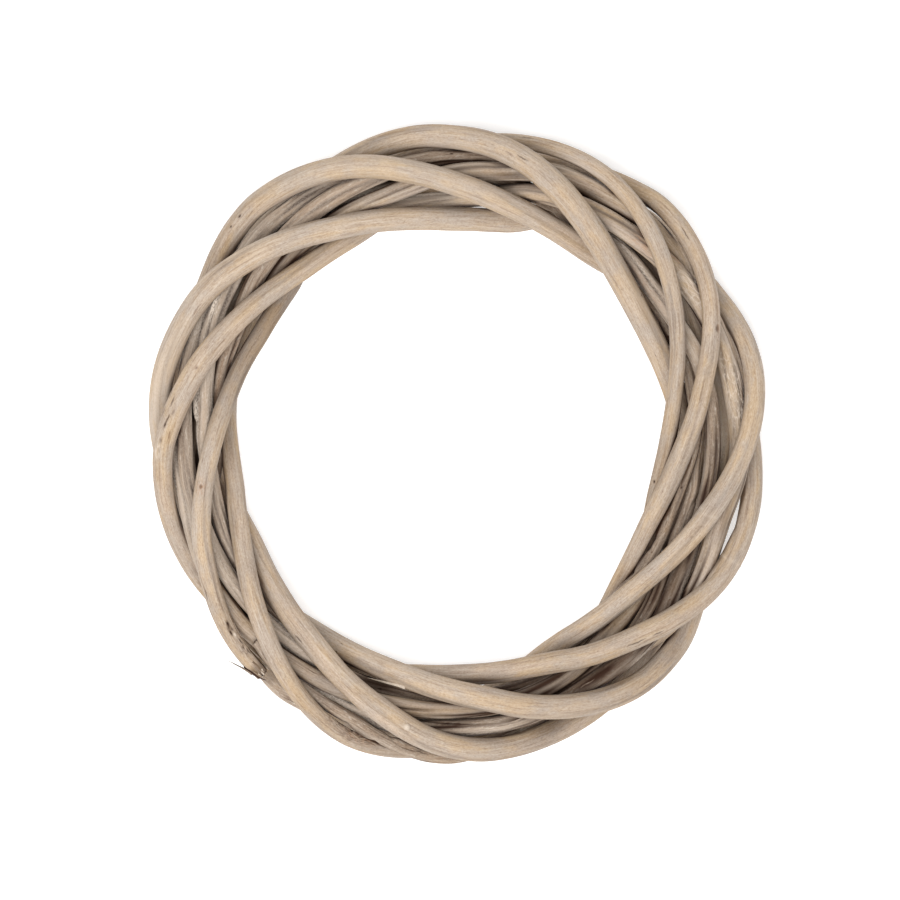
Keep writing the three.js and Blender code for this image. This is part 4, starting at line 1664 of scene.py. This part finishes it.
            *marks(Shape.TINT, Tone.PALE, (110, 107, 28, 4, 0.55), (177, 104.4, 28, 2.5, 0.5)),
        ], stains_and_shade=[
            *stains_and_shade(Tone.PALE, (146, 30, 0.6), (214, 56, 0.3), (232, 20, 0.15)),
            *stains_and_shade(Tone.DARK, (172, 22, 0.12), (250, 22, 0.12), (285, 34, 0.75)),
        ], sides=36, pace=1.2),
    ]


# The studio
@dataclass
class Studio:
    """The pale floor, the soft lights and the camera, in metres and watts.

    Attributes:
        floor_size: The length of the floor's sides.
        floor_drop: How far it lies below the wreath's lowest rods.
        floor_glow: How strongly it shines by itself.
        camera_height: How far the camera hangs above the point that it looks at.
        camera_lens: The length of its lens in millimetres.
        sensor: The width of its sensor in millimetres.
        looked_at: The point that it looks at, near the wreath's middle.
        key_place: Where the overhead light hangs.
        key_turn: How it leans about X and Y, in degrees.
        key_size: The length of its sides.
        key_power: Its power.
        sky: How strongly the room glows.
    """

    floor_size: float = 6.0
    floor_drop: float = 0.0002
    floor_glow: float = 0.29
    camera_height: float = 5.0
    camera_lens: float = 500.0
    sensor: float = 36.0
    looked_at: tuple[float, float, float] = (-0.00263, -0.00224, 0.0194)
    key_place: tuple[float, float, float] = (-0.24, -0.36, 1.6)
    key_turn: tuple[float, float] = (12.7, -8.5)
    key_size: float = 1.1
    key_power: float = 31.0
    sky: float = 0.77

    def build(self) -> None:
        """Set up floor, lights and camera."""
        self.lay_floor()
        self.hang_lights()
        self.set_camera()
        view = bpy.context.scene.view_settings
        view.view_transform = "Standard"
        LOG.info("studio: floor, lights and camera")

    def lay_floor(self) -> None:
        """Lay the plain pale floor just under the wreath."""
        bpy.ops.object.select_all(action="DESELECT")
        bpy.ops.mesh.primitive_plane_add(
            size=self.floor_size, location=(0.0, 0.0, -self.floor_drop))
        floor = bpy.context.object
        floor.name = "floor"
        shader = Shader("pale_floor")
        shader.surface.inputs["Base Color"].default_value = (0.93, 0.93, 0.93, 1.0)
        shader.surface.inputs["Roughness"].default_value = 0.9
        shader.surface.inputs["Specular IOR Level"].default_value = 0.1
        shader.surface.inputs["Emission Color"].default_value = (1.0, 1.0, 1.0, 1.0)
        shader.surface.inputs["Emission Strength"].default_value = self.floor_glow
        floor.data.materials.append(shader.material)

    def hang_lights(self) -> None:
        """Hang one large soft light overhead and let the whole room glow."""
        bpy.ops.object.light_add(
            type="AREA", location=self.key_place,
            rotation=(*(math.radians(turn) for turn in self.key_turn), 0.0))
        key = bpy.context.object
        key.name = "overhead_light"
        key.data.shape = "SQUARE"
        key.data.size = self.key_size
        key.data.energy = self.key_power
        world = bpy.data.worlds.new("room")
        world.use_nodes = True
        background = world.node_tree.nodes["Background"]
        background.inputs["Color"].default_value = (1.0, 1.0, 1.0, 1.0)
        background.inputs["Strength"].default_value = self.sky
        bpy.context.scene.world = world

    def set_camera(self) -> None:
        """Look straight down on the wreath through a long lens."""
        across, along, up = self.looked_at
        bpy.ops.object.camera_add(
            location=(across, along, up + self.camera_height), rotation=(0.0, 0.0, 0.0))
        camera = bpy.context.object
        camera.name = "camera"
        camera.data.lens = self.camera_lens
        camera.data.sensor_width = self.sensor
        camera.data.clip_start = 0.1
        camera.data.clip_end = 50.0
        bpy.context.scene.camera = camera


def main() -> None:
    """Build the wreath rod by rod, then the studio."""
    shelter = Shelter()
    for rod in wreath_rods():
        rod.build(shelter)
    Studio().build()


if __name__ == "__main__":
    main()
